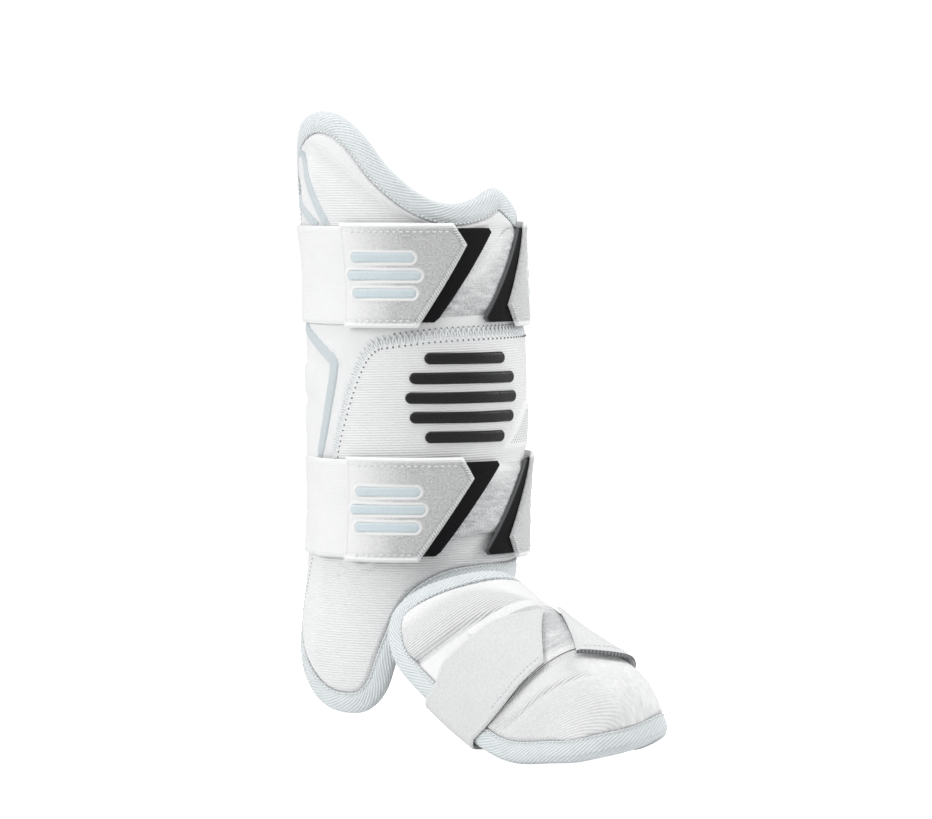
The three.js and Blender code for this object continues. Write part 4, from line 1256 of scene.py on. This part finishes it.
def build_panel():
    """Ribbed front panel with its zigzag seam, needle holes and vent patch."""
    flat = flat_leg(*panel_place(*grid_shares("panel", edge_spacing)))
    edge = edge_distance(flat, spread(grid_border(flat), OUTLINES["panel"], closed=True))
    rim = PANEL * soft_edge(edge, PANEL_EDGE["roll"], PANEL_EDGE["thin"])
    top, bottom = on_leg(flat, PANEL_GAP + rim), on_leg(flat, PANEL_GAP)
    piece = add_wall("panel_cloth", top, bottom, flat, [finish("panel")], ["front_panel"])
    build_seam()
    build_vent()


def build_seam():
    """Flat zigzag seam along the side and top of the panel, with its needle holes."""
    line = edge_spacing(OUTLINES["seam"])
    side = flat_leg(*panel_place(0 * line, line))
    over = flat_leg(*panel_place(line, 0 * line + 1))
    sewn = np.concatenate([side, over[1:]])
    count = 2 * int(lengths_of(sewn)[-1] / size("seam_pitch"))
    centre = spread(sewn, count)
    travel, inward = path_axes(centre)
    outside = np.arange(count) % 2 == 0
    zigzag = centre + inward * np.where(outside, -SEAM["outside"], SEAM["inside"])[:, None]
    high = np.where(outside, SEAM["lift"], PANEL_GAP + PANEL - SEAM["lift"])
    thread, normals = on_leg(zigzag, high), flat_normal(zigzag)
    add_threads("panel_seam", (thread[:-1], thread[1:], normals[:-1]), "seam")
    across_top = np.arange(count) > count * len(side) / len(sewn)
    # Dark spots at the needle holes: painted shade.
    shown = ~outside | across_top
    spots = on_leg(zigzag, high + SEAM_HOLE["rise"])
    dashes = on_leg(zigzag + travel * SEAM_HOLE["length"], high + SEAM_HOLE["rise"])
    radius = np.where(outside, SEAM_HOLE["outside"], SEAM_HOLE["inside"])[shown, None]
    add_threads("seam_holes", (spots[shown], dashes[shown], normals[shown]), "holes", radius)


def build_vent():
    """Smooth patch with a mesh window at the low outer corner of the panel."""
    share, row = grid_shares("vent")
    start = mix(VENT["slant_low"], VENT["slant_high"], row)
    flat = flat_leg(mix(start, VENT["outer"], share), mix(VENT["low"], VENT["high"], row))
    edge = edge_distance(flat, grid_border(flat))
    floor = PANEL_GAP + PANEL + GAP
    window = step(*VENT_WINDOW["edge"], edge)
    lift = floor + mix(-GAP, LOOP_FABRIC, step(0, VENT_ROLL, edge)) - VENT_WINDOW["sink"] * window
    add_wall("vent_window", on_leg(flat, lift), on_leg(flat, floor - 2 * GAP), marked(flat, window),
             [finish("vent")], ["vent_patch"])


def band_gap(z):
    """Distance of a height from the nearest calf band, negative under it."""
    return np.minimum.reduce([np.abs(z - strap["z"]) - ELASTIC_WIDTH / 2 for strap in STRAPS.values()])


def tucked(path):
    """Path whose ends at a band run on under it."""
    for _ in range(2):
        if band_gap(path[-1, 1]) < STRIPE_TUCK["near"]:
            along = unit(path[-1] - path[-6])
            more = path[-1] + along * np.linspace(0.5, STRIPE_TUCK["length"], 12)[:, None]
            path = np.concatenate([path, more])
        path = path[::-1]
    return path


def build_stripes():
    """Raised strips on the inner side."""
    count, across = GRIDS["strip"]
    share = np.linspace(-1, 1, across)
    crown = np.sqrt(1 - np.minimum(np.abs(share), STRIPE_CROWN["limit"]) ** STRIPE_CROWN["power"])
    for name, places in STRIPES.items():
        path = tucked(flat_curve(places, count))
        _travel, right = path_axes(path)
        half = share * STRIPE_WIDTH[name] / 2
        flat = path[:, None, :] - right[:, None, :] * half[None, :, None]
        dip = soft_edge(band_gap(path[:, 1]), STRIPE_DIP[1], start=STRIPE_DIP[0])
        floor = crease_sink(flat)
        top = on_leg(flat, floor + (GAP + STRIPE) * dip[:, None] * crown[None, :])
        cloth = cloth_grid(lengths_of(path)[:, None], half[None, :])
        add_wall(name + "_strip", top, on_leg(flat, floor - GAP), cloth, [finish("stripe")],
                 [name])


def lens_bars(lens):
    """Heights and lengths of the bars that fill a lens."""
    found = []
    for i in range(lens["count"]):
        z = (i - (lens["count"] - 1) / 2) * lens["pitch"]
        found.append((z, lens["width"] * math.sqrt(1 - (z / (lens["height"] / 2)) ** 2 * LENS_BLUNT)))
    return found


def build_bar(name, angle, z, length, height, lift, thick, tone):
    """One pillowed bar with round ends."""
    round_part = height / 2
    ends = np.sin(np.linspace(0, math.pi / 2, 12)) * round_part
    body = np.linspace(0, length / 2 - round_part, 16)
    half = np.concatenate([body, length / 2 - round_part + ends[1:-1], [length / 2 - 0.02]])
    along = np.concatenate([-half[:0:-1], half])
    past = np.maximum(0, np.abs(along) - (length / 2 - round_part))
    reach = np.sqrt(np.maximum(1e-4, round_part**2 - past**2))
    share = np.linspace(-1, 1, 15)
    rise = reach[:, None] * share[None, :]
    out = np.hypot(past[:, None], rise)
    inside = np.clip(1 - out / round_part, 0, 1)
    top = thick * mix(BAR_PILLOW["rim"], 1, np.sqrt(np.clip(inside * BAR_PILLOW["slope"], 0, 1)))
    flat = flat_leg(angle + along[:, None] * DEGREES_PER_MM, z + rise)
    add_wall(name + "_print", on_leg(flat, lift + top), on_leg(flat, lift), flat, [finish(tone)],
             [name])


def build_bars():
    """Plain bars on the front panel and on each tab."""
    angle, z = SHIN_BARS_AT
    face = PANEL_GAP + PANEL + BAR_GAP
    for i, (rise, length) in enumerate(lens_bars(SHIN_BARS)):
        build_bar(f"shin_bar_{i + 1}", angle, z + rise, length, SHIN_BARS["bar"], face,
                  BAR, "dark")
    for name, strap in STRAPS.items():
        face = strap["floor"] + TAB_LIFT + TAB - TAB_BAR_SUNK
        for end, turn in TURNS.items():
            for i, (rise, length) in enumerate(lens_bars(TAB_BARS)):
                build_bar(f"{name}_{end}_bar_{i + 1}", strap["middle"] + turn * TAB_BARS_ANGLE,
                          strap["z"] + rise, length, TAB_BARS["bar"], face, TAB_BAR_RISE,
                          "pale")


def strap_point(strap, turn, flat, lift):
    """Point on a strap from its middle, laid flat: the outer end is turned half a turn."""
    angle = strap["middle"] + turn * flat[..., 0] * DEGREES_PER_MM
    return leg_point(angle, strap["z"] + turn * flat[..., 1], strap["floor"] + lift)


def end_angle(rows, height):
    return np.interp(height, rows["height"], rows["angle"])


def tab_base(share):
    return mix(BAND_LIFT + ELASTIC + GAP, TAB_LIFT, step(0, TAB_RAMP, share))


def tab_row_heights():
    """Heights of a tab's two straight rows of stitches."""
    return TAB_END["height"][0] + TAB_ROWS[0], TAB_END["height"][-1] - TAB_ROWS[1]


def tab_outline():
    """Tab outline laid flat from the strap's middle."""
    low, mid, high = TAB_END["height"]
    corners = [(TAB_REAR, low), (end_angle(TAB_END, low), low), (end_angle(TAB_END, mid), mid),
               (end_angle(TAB_END, high), high), (TAB_REAR, high)]
    return flat_leg(*np.array(corners).T)


def bar_gap(flat):
    """Distance from the nearest bar of a tab."""
    centre = TAB_BARS_ANGLE / DEGREES_PER_MM
    gaps = []
    for z, length in lens_bars(TAB_BARS):
        beyond = np.maximum(0, np.abs(flat[..., 0] - centre) - (length - TAB_BARS["bar"]) / 2)
        gaps.append(np.hypot(beyond, flat[..., 1] - z) - TAB_BARS["bar"] / 2)
    return np.minimum.reduce(gaps)


def tab_lift(flat, edge, share):
    """Top of a tab: piped hem, stitch furrows and a rim round each bar."""
    lift = TAB * soft_edge(edge, CLOTH_ROLL) + humps(edge, TAB_HEM) + humps(bar_gap(flat), BAR_RIM)
    for z in tab_row_heights():
        lift = lift - TAB_FURROW["depth"] * hump(flat[..., 1], z, TAB_FURROW["width"])
    return tab_base(share) + lift


def tab_clean(flat, share):
    """Clean white on a tab's hems and bar rims, a painted highlight toward its rear end, and below 0
    painted shade toward its slanted end, both in part the cloth's own tone.
    """
    low, high = TAB_END["height"][0], TAB_END["height"][-1]
    hem = step(*TAB_CLEAN["hem"], np.minimum(flat[..., 1] - low, high - flat[..., 1]))
    # Painted highlight toward the rear end, in part the cloth's own white.
    rear = step(TAB_CLEAN["rear"], 0, flat[..., 0] - TAB_REAR / DEGREES_PER_MM)
    # Painted shade toward the slanted end, in part the cloth's own darker tone.
    shaded_end = step(*TAB_CLEAN["shaded_end"], share)
    rim = step(*TAB_CLEAN["rim"], bar_gap(flat))
    return np.maximum.reduce([hem, TAB_CLEAN["share"] * (rear - shaded_end), rim])


def tab_stitches(strap, turn):
    """Straight rows along a tab's long edges and the overcast row on its slanted end."""

    def raised(path, extra):
        along = (path[:, 0] * DEGREES_PER_MM - TAB_REAR) / (end_angle(TAB_END, path[:, 1]) - TAB_REAR)
        return strap_point(strap, turn, path, tab_base(along) + TAB + extra)

    straight = []
    for z in tab_row_heights():
        first, last = TAB_REAR + TAB_ROW_ENDS[0], end_angle(TAB_END, z) - TAB_ROW_ENDS[1]
        path = flat_leg(np.linspace(first, last, 200), z)
        away = raised(path, 1.0) - raised(path, 0.0)
        straight.append(stitch_row("tab_stitches", raised(path, -THREAD_SINK), away, size("tab_pitch")))
    slant = spread(flat_leg(TAB_END["angle"], TAB_END["height"]), OVERCAST["count"])[1:-1]
    travel, right = path_axes(slant)
    lean = travel * OVERCAST["lean"]
    outer, inner = slant - right * OVERCAST["outer"] - lean, slant - right * OVERCAST["inner"] + lean
    away = raised(slant - right * 2, 1.0) - raised(slant - right * 2, 0.0)
    return straight, (raised(outer, -THREAD_SINK), raised(inner, OVERCAST["rise"]), away)


def build_tab(name, strap, end, turn):
    """One stitched tab."""
    share, row = grid_shares("tab")
    height = mix(TAB_END["height"][0], TAB_END["height"][-1], row)
    flat = flat_leg(mix(TAB_REAR, end_angle(TAB_END, height), share), height)
    edge = edge_distance(flat, tab_outline())
    share = np.broadcast_to(share, edge.shape)
    top = strap_point(strap, turn, flat, tab_lift(flat, edge, share))
    bottom = strap_point(strap, turn, flat, tab_base(share))
    piece = add_wall(f"{name}_{end}_tab_cloth", top, bottom, marked(flat, tab_clean(flat, share)),
                     [finish("tab")], [f"{name}_{end}_tab"])


def build_hook(name, strap, end, turn):
    """One black hook tongue, with a painted highlight along the leading edge of the outer one."""
    share, row = grid_shares("hook")
    height = mix(HOOK_END["height"][0], HOOK_END["height"][-1], row)
    start = end_angle(TAB_END, height) - HOOK_TUCK
    flat = flat_leg(mix(start, end_angle(HOOK_END, height), share), height)
    edge = edge_distance(flat, grid_border(flat))
    lift = HOOK_LIFT + HOOK * soft_edge(edge, HOOK_EDGE["roll"], HOOK_EDGE["thin"])
    lead = np.linalg.norm(flat - flat[-1:], axis=-1)
    # Painted highlight along the leading edge.
    pale = HOOK_HIGHLIGHT[end] * step(*HOOK_LEAD, lead)
    add_wall(f"{name}_{end}_hook_tongue", strap_point(strap, turn, flat, lift),
             strap_point(strap, turn, flat, HOOK_LIFT), marked(flat, pale), [finish("hook")],
             [f"{name}_{end}_hook"])


def fuzz(shape, amount):
    """Seeded roughness of a brushed surface over a grid."""
    rough = np.random.default_rng(NOISE_SEED).normal(size=shape)
    soft = (rough + np.roll(rough, 1, 0) + np.roll(rough, 1, 1) + np.roll(rough, -1, 0)) / 2
    broad = sum(np.roll(rough, (i, j), (0, 1)) for i in range(-4, 5) for j in range(-4, 5)) / 9
    return amount * (0.6 * soft + 0.5 * broad)


def build_loop(name, strap):
    """Brushed loop cloth between the hooks."""
    along, share = grid_shares("loop")
    reach = LOOP_TOP[name]["angle"][-1]
    angle = mix(-reach, reach, along)
    high = smooth(LOOP_TOP[name], "angle", "z", angle)
    low = smooth(LOOP_BOTTOM[name], "angle", "z", angle)
    flat = flat_leg(angle, mix(low, high, share))
    rim = np.minimum(share, 1 - share) * (high - low)
    pile = LOOP_FABRIC + fuzz(flat.shape[:2], LOOP_FUZZ["calf"])
    pile = np.clip(pile, LOOP_LIMIT, LOOP_FABRIC + LOOP_LIMIT) * step(0, LOOP_ROLL, rim)
    lift = pile + GAP * step(-2, LOOP_ROLL, rim)
    top = strap_point(strap, 1, flat, lift)
    # Painted highlight over the top of the loop, fading toward the outer hook.
    pale = LOOP_HIGHLIGHT["share"] * step(LOOP_HIGHLIGHT["depth"], 0, high - flat[..., 1])
    cloth = marked(flat, pale * step(LOOP_HIGHLIGHT["angle"], 0, angle))
    piece = add_wall(f"{name}_loop_cloth", top, strap_point(strap, 1, flat, lift - LOOP_FABRIC), cloth,
                     [finish("loop")], [f"{name}_loop_panel"])


def build_band(name, strap):
    """Elastic band round the back of the leg, close to the shell on the inner side."""
    along, row = grid_shares("band")
    angle = strap["middle"] + mix(-BAND_START, 360 + BAND_START, along)
    share = 2 * row - 1
    z = strap["z"] + share * ELASTIC_WIDTH / 2 + 0 * angle
    edge = (1 - np.abs(share)) * ELASTIC_WIDTH / 2 + 0 * angle
    lift = ELASTIC * soft_edge(edge, ELASTIC_ROLL) + humps(edge, BAND_HEM)
    hug = step(*BAND_HUG["end"], angle) * step(*BAND_HUG["start"], angle)
    base = strap["floor"] * (1 - hug) + BAND_LIFT
    top = leg_point(angle, z, base + lift)
    piece = add_wall(f"{name}_band_elastic", top, leg_point(angle, z, base), flat_leg(angle, z),
                     [finish("elastic")], [f"{name}_band"])


def build_straps():
    """Both calf straps: loop cloth, bands, tabs, hooks and stitches."""
    rows, overcast = [], []
    for name, strap in STRAPS.items():
        build_loop(name, strap)
        build_band(name, strap)
        for end, turn in TURNS.items():
            build_tab(name, strap, end, turn)
            build_hook(name, strap, end, turn)
            straight, slanted = tab_stitches(strap, turn)
            rows += straight
            overcast.append(slanted)
    add_threads("tab_stitches", join_rows(rows), "thread")
    add_threads("tab_overcast", join_rows(overcast), "thread")


def foot_folds(line, across):
    """Lift of the foot pad's folds, and a mark above 0 on the toe's grain and below 0 on plain cloth."""
    inner_side = step(*INSTEP_SIDE, across)
    bend = np.clip(across - INSTEP_VALLEY["from"], 0, 2) ** 2
    valley = line - INSTEP_VALLEY["line"] - INSTEP_VALLEY["bend"] * bend
    deeper = INSTEP_DEEPER["depth"] * step(*INSTEP_DEEPER["across"], across)
    instep = humps(valley, INSTEP_FOLD) - deeper * hump(valley, 0, INSTEP_DEEPER["width"])
    bend = np.clip(across - TOE_PINCH["from"], 0, TOE_PINCH["span"])
    pinch = line - TOE_PINCH["line"] - TOE_PINCH["bend"] * bend
    pinched = step(*TOE_PINCHED["inner"], across) * step(*TOE_PINCHED["outer"], across)
    pinched = pinched * step(*TOE_PINCHED["line"], line)
    toe_strip = TOE_STRIP["share"] * pinched * step(*TOE_STRIP["pinch"], pinch)
    grain = mix(TOE_GRAIN["least"], 1, step(*TOE_GRAIN["across"], across)) * (1 - toe_strip)
    strip = step(*INSTEP_STRIP["valley"], valley) * step(*INSTEP_STRIP["line"], line) * inner_side
    heel = HEEL_PLAIN["share"] * step(*HEEL_PLAIN["valley"], valley)
    plain = np.maximum(strip + TOE_STRIP["plain"] * toe_strip, heel)
    fold = inner_side * instep + pinched * humps(pinch, TOE_FOLD)
    return fold, step(*TOE_GRAIN["line"], line) * grain - plain


def build_foot_pad():
    """Arched foot pad with its folds and lining."""
    along, row = grid_shares("foot_pad", edge_spacing)
    share = 2 * row - 1
    reach = mix(heel_reach(share), FOOT_TOE["tip"] - FOOT_TOE["blunt"], along)
    across = share * toe_share(reach, share)
    edge = edge_distance(foot_face(reach, across), foot_face(*foot_outline(OUTLINES["foot_pad"]).T))
    line = reach + FOOT_SWEEP * across**2
    fold, marks = foot_folds(line, across)
    padded = step(*HEM_ROLL, edge)
    room = STRAP_ROOM["under"] + STRAP_ROOM["rear"] * step(*STRAP_SPAN["rear"], line)
    room = room + STRAP_ROOM["toe"] * step(*STRAP_SPAN["toe"], line)
    lift = -HEM_SINK * (1 - padded) + fold * step(HEM_ROLL[0] - 1, HEM_ROLL[1], edge)
    top = foot_point(reach, across, np.minimum(lift, room))
    bottom = foot_point(reach, across, mix(-HEM_SINK - HEM, -PAD, padded))
    cloth = cloth_grid(across * FOOT_CLOTH, line, marks)
    piece = add_wall("foot_pad_cloth", top, bottom, cloth, [finish("foot"), finish("lining")],
                     ["foot_pad"])


def build_foot_loop():
    """Loop cloth over the instep."""
    along, side = grid_shares("foot_loop")
    line = mix(FOOT_LOOP["rear"], FOOT_LOOP["front"], along)
    across = mix(FOOT_LOOP["inner"], FOOT_LOOP["outer"], side) + 0 * line
    reach = swept(line, across)
    rim = np.minimum(line - FOOT_LOOP["rear"], FOOT_LOOP["front"] - line) + 0 * across
    pile = LOOP_FABRIC * soft_edge(rim, FOOT_LOOP_PILE["roll"]) + fuzz(rim.shape, LOOP_FUZZ["foot"])
    pile = np.clip(pile, FOOT_LOOP_PILE["least"], LOOP_FABRIC + LOOP_LIMIT)
    top = foot_point(reach, across, GAP + pile)
    rear_rim = step(*FOOT_LOOP_PALE["rear"], line - FOOT_STRAP["rear"])
    front_rim = step(*FOOT_LOOP_PALE["rim"], rim) * step(*FOOT_LOOP_PALE["line"], line)
    pale = np.maximum(np.maximum(rear_rim, FOOT_LOOP_PALE["front"] * front_rim), FOOT_LOOP_PALE["least"])
    cloth = cloth_grid(across * FOOT_CLOTH, line, pale)
    piece = add_wall("foot_loop_cloth", top, foot_point(reach, across, GAP + 0 * pile), cloth,
                     [finish("loop")], ["foot_loop_panel"])


def strap_shift(share, across, sign):
    """How far the foot strap lies toward the toe of its straight run, by share of its width."""
    if sign > 0:
        return share**2 * humps(across, FOOT_STRAP_FRONT)
    rows = zip(*FOOT_STRAP_REAR.values())
    return (1 - share) ** 2 * sum(most * step(low, high, across) for most, low, high in rows)


def strap_half(line, share, sign):
    """One half of the foot strap along a line: over the pad to its edge, and the turn under it."""
    across = np.linspace(mix(*FOOT_STRAP_ENDS[sign], share), sign, FOOT_STRAP_POINTS["over"])
    lift = np.interp(np.abs(across), FOOT_STRAP_LIFT["across"], FOOT_STRAP_LIFT["lift"])
    shift = strap_shift(share, across, sign)
    over = foot_point(swept(line + shift, across), across, lift)
    edge = np.array([swept(line + shift[-1], sign)]), np.array([float(sign)])
    _toe, outer, _off = foot_axes(*edge)
    down = unit(outer[0]) * sign
    fold = TAPE_ROOM + TAPE + FOOT_STRAP_GAP
    corner = foot_point(*edge, np.zeros(1))[0] + down * fold
    under = foot_point(*edge, np.full(1, -HEM_SINK - HEM / 2))[0] + down * (fold + ELASTIC / 2)
    return over, corner, under


def strap_path(share):
    """Centre path of the foot strap at a share of its width, from end to end."""
    line = mix(FOOT_STRAP["rear"], FOOT_STRAP["front"], share)
    inner, corner_a, under_a = strap_half(line, share, -1)
    outer, corner_b, under_b = strap_half(line, share, 1)
    middle = (under_a + under_b) / 2 - (0, 0, FOOT_STRAP_SAG)
    stations = [inner[-1], corner_a, under_a, middle, under_b, corner_b, outer[-1]]
    turn = curve_through(stations, FOOT_STRAP_POINTS["under"])
    count = FOOT_STRAP_POINTS["end"]
    return np.concatenate([spread(inner, count), turn[1:-1], spread(outer[::-1], count)])


def build_foot_strap():
    """Elastic strap round the foot with both ends on top of the pad and a dark front edge: a braid, and on
    the inner end painted shadow.
    """
    shares = even_spacing(FOOT_STRAP_POINTS["width"])
    base = np.stack([strap_path(share) for share in shares], 1)
    off = unit(np.cross(np.gradient(base, axis=0), np.gradient(base, axis=1)))
    edge = edge_distance(base, grid_border(base))
    lift = ELASTIC * soft_edge(edge, CLOTH_ROLL) + humps(edge, FOOT_STRAP_HEM)
    top = base + off * lift[..., None]
    along = np.stack([lengths_of(base[:, k]) for k in range(len(shares))], 1)
    cloth = cloth_grid(along, shares[None, :] * FOOT_STRAP_WIDTH)
    points, faces, _back = wall(top, base)
    columns, rows = base.shape[:2]
    marks = np.zeros(len(faces))
    # Dark braid on the front wall all along and on the top's front row over the outer half; the dark wall
    # of the inner end is painted shadow under its lifted edge.
    marks[: (columns - 1) * (rows - 1)].reshape(columns - 1, rows - 1)[columns // 2:, -1] = 1
    front = (columns - 1) * (rows - 1) + columns + rows - 2
    marks[front: front + columns - 1] = 1
    both = np.concatenate([cloth.reshape(-1, 2)] * 2)
    piece = add_piece("foot_strap_elastic", points, faces, [finish("strap"), finish("braid")], both,
                      ["foot_strap"], marks)
    first, sewn = FOOT_STRAP_ROW["from_end"], -FOOT_STRAP_ROW["from_edge"]
    last = first + FOOT_STRAP_ROW["count"]
    stitched = []
    for part in (slice(first, last), slice(columns - last, columns - first)):
        pitch = size("stitch_pitch")
        stitched.append(stitch_row("foot_strap_stitches", top[part, sewn], off[part, sewn], pitch))
    add_threads("foot_strap_stitches", join_rows(stitched), "seam")


def build_link():
    """Hidden strip that carries the foot pad."""
    face = -HEM_SINK - HEM - TAPE_BACK_GAP - TAPE - LINK["clearance"]
    count, wide = GRIDS["link"]
    sideways = np.linspace(-LINK["half"], LINK["half"], wide)
    across = (sideways - FOOT["centre"][0]) / FOOT["outer"][0]
    grids = []
    for lift in (face, face - LINK["wall"]):
        down = [leg_point(sideways * DEGREES_PER_MM, z, lift) for z in LINK_HEIGHTS]
        forward = [foot_point(np.full(wide, float(r)), across, np.full(wide, lift)) for r in LINK_REACH]
        stations = np.stack(down + forward)
        grids.append(np.stack([curve_through(stations[:, k], count) for k in range(wide)], 1))
    cloth = cloth_grid(lengths_of(grids[0][:, wide // 2])[:, None], sideways[None, :])
    piece = add_wall("ankle_link_strip", grids[0], grids[1], cloth, [finish("elastic")],
                     ["ankle_link"])


def build_foot():
    """Foot pad, loop cloth, strap and hidden strip."""
    build_foot_pad()
    build_foot_loop()
    build_foot_strap()
    build_link()


def view_axes():
    """Directions of the photograph's view: toward the camera, to the right and up."""
    flat = math.cos(VIEW_ELEVATION)
    back = Vector((math.sin(VIEW_AZIMUTH) * flat, -math.cos(VIEW_AZIMUTH) * flat, math.sin(VIEW_ELEVATION)))
    right = Vector((math.cos(VIEW_AZIMUTH), math.sin(VIEW_AZIMUTH), 0))
    return back, right, back.cross(right)


def build_room():
    """Even white light all round, brighter where the camera sees it."""
    world = bpy.data.worlds.new("studio")
    bpy.context.scene.world = world
    world.use_nodes = True
    nodes, links = world.node_tree.nodes, world.node_tree.links
    light, white = nodes["Background"], nodes.new("ShaderNodeBackground")
    for background, strength in ((light, ROOM["light"]), (white, ROOM["seen"])):
        background.inputs["Color"].default_value = WHITE
        background.inputs["Strength"].default_value = strength
    seen = nodes.new("ShaderNodeLightPath")
    blend = nodes.new("ShaderNodeMixShader")
    links.new(seen.outputs["Is Camera Ray"], blend.inputs[0])
    links.new(light.outputs[0], blend.inputs[1])
    links.new(white.outputs[0], blend.inputs[2])
    links.new(blend.outputs[0], nodes["World Output"].inputs["Surface"])


def build_floor():
    """Pale floor that the camera sees as white."""
    low, half = CAD_BOX[0][2] - FLOOR["drop"], FLOOR["half"]
    mesh = bpy.data.meshes.new("studio_floor")
    corners = [(-half, -half, low), (half, -half, low), (half, half, low), (-half, half, low)]
    mesh.from_pydata(corners, [], [(0, 1, 2, 3)])
    floor = bpy.data.objects.new("studio_floor", mesh)
    bpy.context.scene.collection.objects.link(floor)
    paper = bpy.data.materials.new("studio_paper")
    paper.use_nodes = True
    shader = paper.node_tree.nodes["Principled BSDF"]
    shader.inputs["Base Color"].default_value = (FLOOR["tone"], FLOOR["tone"], FLOOR["tone"], 1)
    shader.inputs["Roughness"].default_value = FLOOR["roughness"]
    shader.inputs["Emission Color"].default_value = WHITE
    seen = paper.node_tree.nodes.new("ShaderNodeLightPath")
    paper.node_tree.links.new(seen.outputs["Is Camera Ray"], shader.inputs["Emission Strength"])
    mesh.materials.append(paper)


def build_lamps():
    """Soft square lamps aimed at the part."""
    back, right, up = view_axes()
    for name, row in LAMPS.items():
        light = bpy.data.lights.new(name, "AREA")
        light.size = row["size"]
        light.energy = row["power"]
        lamp = bpy.data.objects.new(name, light)
        lamp.location = back * row["back"] + right * row["right"] + up * row["up"]
        lamp.rotation_euler = (-lamp.location).to_track_quat("-Z", "Y").to_euler()
        bpy.context.scene.collection.objects.link(lamp)


def build_camera():
    """Camera at the photograph's angle."""
    back, right, up = view_axes()
    data = bpy.data.cameras.new("camera")
    data.sensor_width = SENSOR
    data.lens = SENSOR * (VIEW_DISTANCE / MM / VIEW_MM_PER_PIXEL) / IMAGE_WIDTH
    data.clip_end = 50
    camera = bpy.data.objects.new("camera", data)
    camera.location = right * VIEW_OFFSET[0] + up * VIEW_OFFSET[1] + back * VIEW_DISTANCE
    camera.rotation_euler = (-back).to_track_quat("-Z", "Y").to_euler()
    bpy.context.scene.collection.objects.link(camera)
    bpy.context.scene.camera = camera


def build_stage():
    """Pale floor, soft studio light and the photograph's camera."""
    bpy.context.scene.view_settings.view_transform = "Standard"
    build_room()
    build_floor()
    build_lamps()
    build_camera()


class LEGGUARD_OT_stage(bpy.types.Operator):
    """Makes the pale floor, the soft studio light and the photograph's camera"""

    bl_idname = "leg_guard.stage"
    bl_label = "Stage"

    def execute(self, context):
        build_stage()
        return {"FINISHED"}


class LEGGUARD_OT_shell(bpy.types.Operator):
    """Makes the padded shell and its lining"""

    bl_idname = "leg_guard.shell"
    bl_label = "Padded shell"

    def execute(self, context):
        build_shell()
        return {"FINISHED"}


class LEGGUARD_OT_tapes(bpy.types.Operator):
    """Makes the twill tape round the shell and the foot pad"""

    bl_idname = "leg_guard.tapes"
    bl_label = "Edge tapes"

    def execute(self, context):
        build_tapes()
        return {"FINISHED"}


class LEGGUARD_OT_panel(bpy.types.Operator):
    """Makes the ribbed front panel, its seam and its vent patch"""

    bl_idname = "leg_guard.panel"
    bl_label = "Front panel"

    def execute(self, context):
        build_panel()
        return {"FINISHED"}


class LEGGUARD_OT_stripes(bpy.types.Operator):
    """Makes the raised strips on the inner side"""

    bl_idname = "leg_guard.stripes"
    bl_label = "Side strips"

    def execute(self, context):
        build_stripes()
        return {"FINISHED"}


class LEGGUARD_OT_bars(bpy.types.Operator):
    """Makes the plain bars on the front panel and the tabs"""

    bl_idname = "leg_guard.bars"
    bl_label = "Raised bars"

    def execute(self, context):
        build_bars()
        return {"FINISHED"}


class LEGGUARD_OT_straps(bpy.types.Operator):
    """Makes both calf straps with their tabs, hooks and loop cloth"""

    bl_idname = "leg_guard.straps"
    bl_label = "Calf straps"

    def execute(self, context):
        build_straps()
        return {"FINISHED"}


class LEGGUARD_OT_foot(bpy.types.Operator):
    """Makes the foot pad, its loop cloth, its strap and the hidden strip"""

    bl_idname = "leg_guard.foot"
    bl_label = "Foot guard"

    def execute(self, context):
        build_foot()
        return {"FINISHED"}


OPERATORS = [
    LEGGUARD_OT_stage,
    LEGGUARD_OT_shell,
    LEGGUARD_OT_tapes,
    LEGGUARD_OT_panel,
    LEGGUARD_OT_stripes,
    LEGGUARD_OT_bars,
    LEGGUARD_OT_straps,
    LEGGUARD_OT_foot,
]


class LEGGUARD_PT_panel(bpy.types.Panel):
    """Lists the operators and settings of the leg guard."""

    bl_label = "Leg guard"
    bl_idname = "LEGGUARD_PT_panel"
    bl_space_type = "VIEW_3D"
    bl_region_type = "UI"
    bl_category = "Leg guard"

    def draw(self, context):
        for operator in OPERATORS:
            self.layout.operator(operator.bl_idname)
        for group in (context.scene.leg_guard_sizes, context.scene.leg_guard_colours):
            for name in group.__annotations__:
                self.layout.prop(group, name)


CLASSES = [LEGGUARD_PG_sizes, LEGGUARD_PG_colours, *OPERATORS, LEGGUARD_PT_panel]


def register():
    for cls in CLASSES:
        bpy.utils.register_class(cls)
    bpy.types.Scene.leg_guard_sizes = bpy.props.PointerProperty(type=LEGGUARD_PG_sizes)
    bpy.types.Scene.leg_guard_colours = bpy.props.PointerProperty(type=LEGGUARD_PG_colours)


def unregister():
    del bpy.types.Scene.leg_guard_colours
    del bpy.types.Scene.leg_guard_sizes
    for cls in reversed(CLASSES):
        bpy.utils.unregister_class(cls)


def main():
    register()
    for operator in OPERATORS:
        group, name = operator.bl_idname.split(".")
        getattr(getattr(bpy.ops, group), name)()


if __name__ == "__main__":
    main()
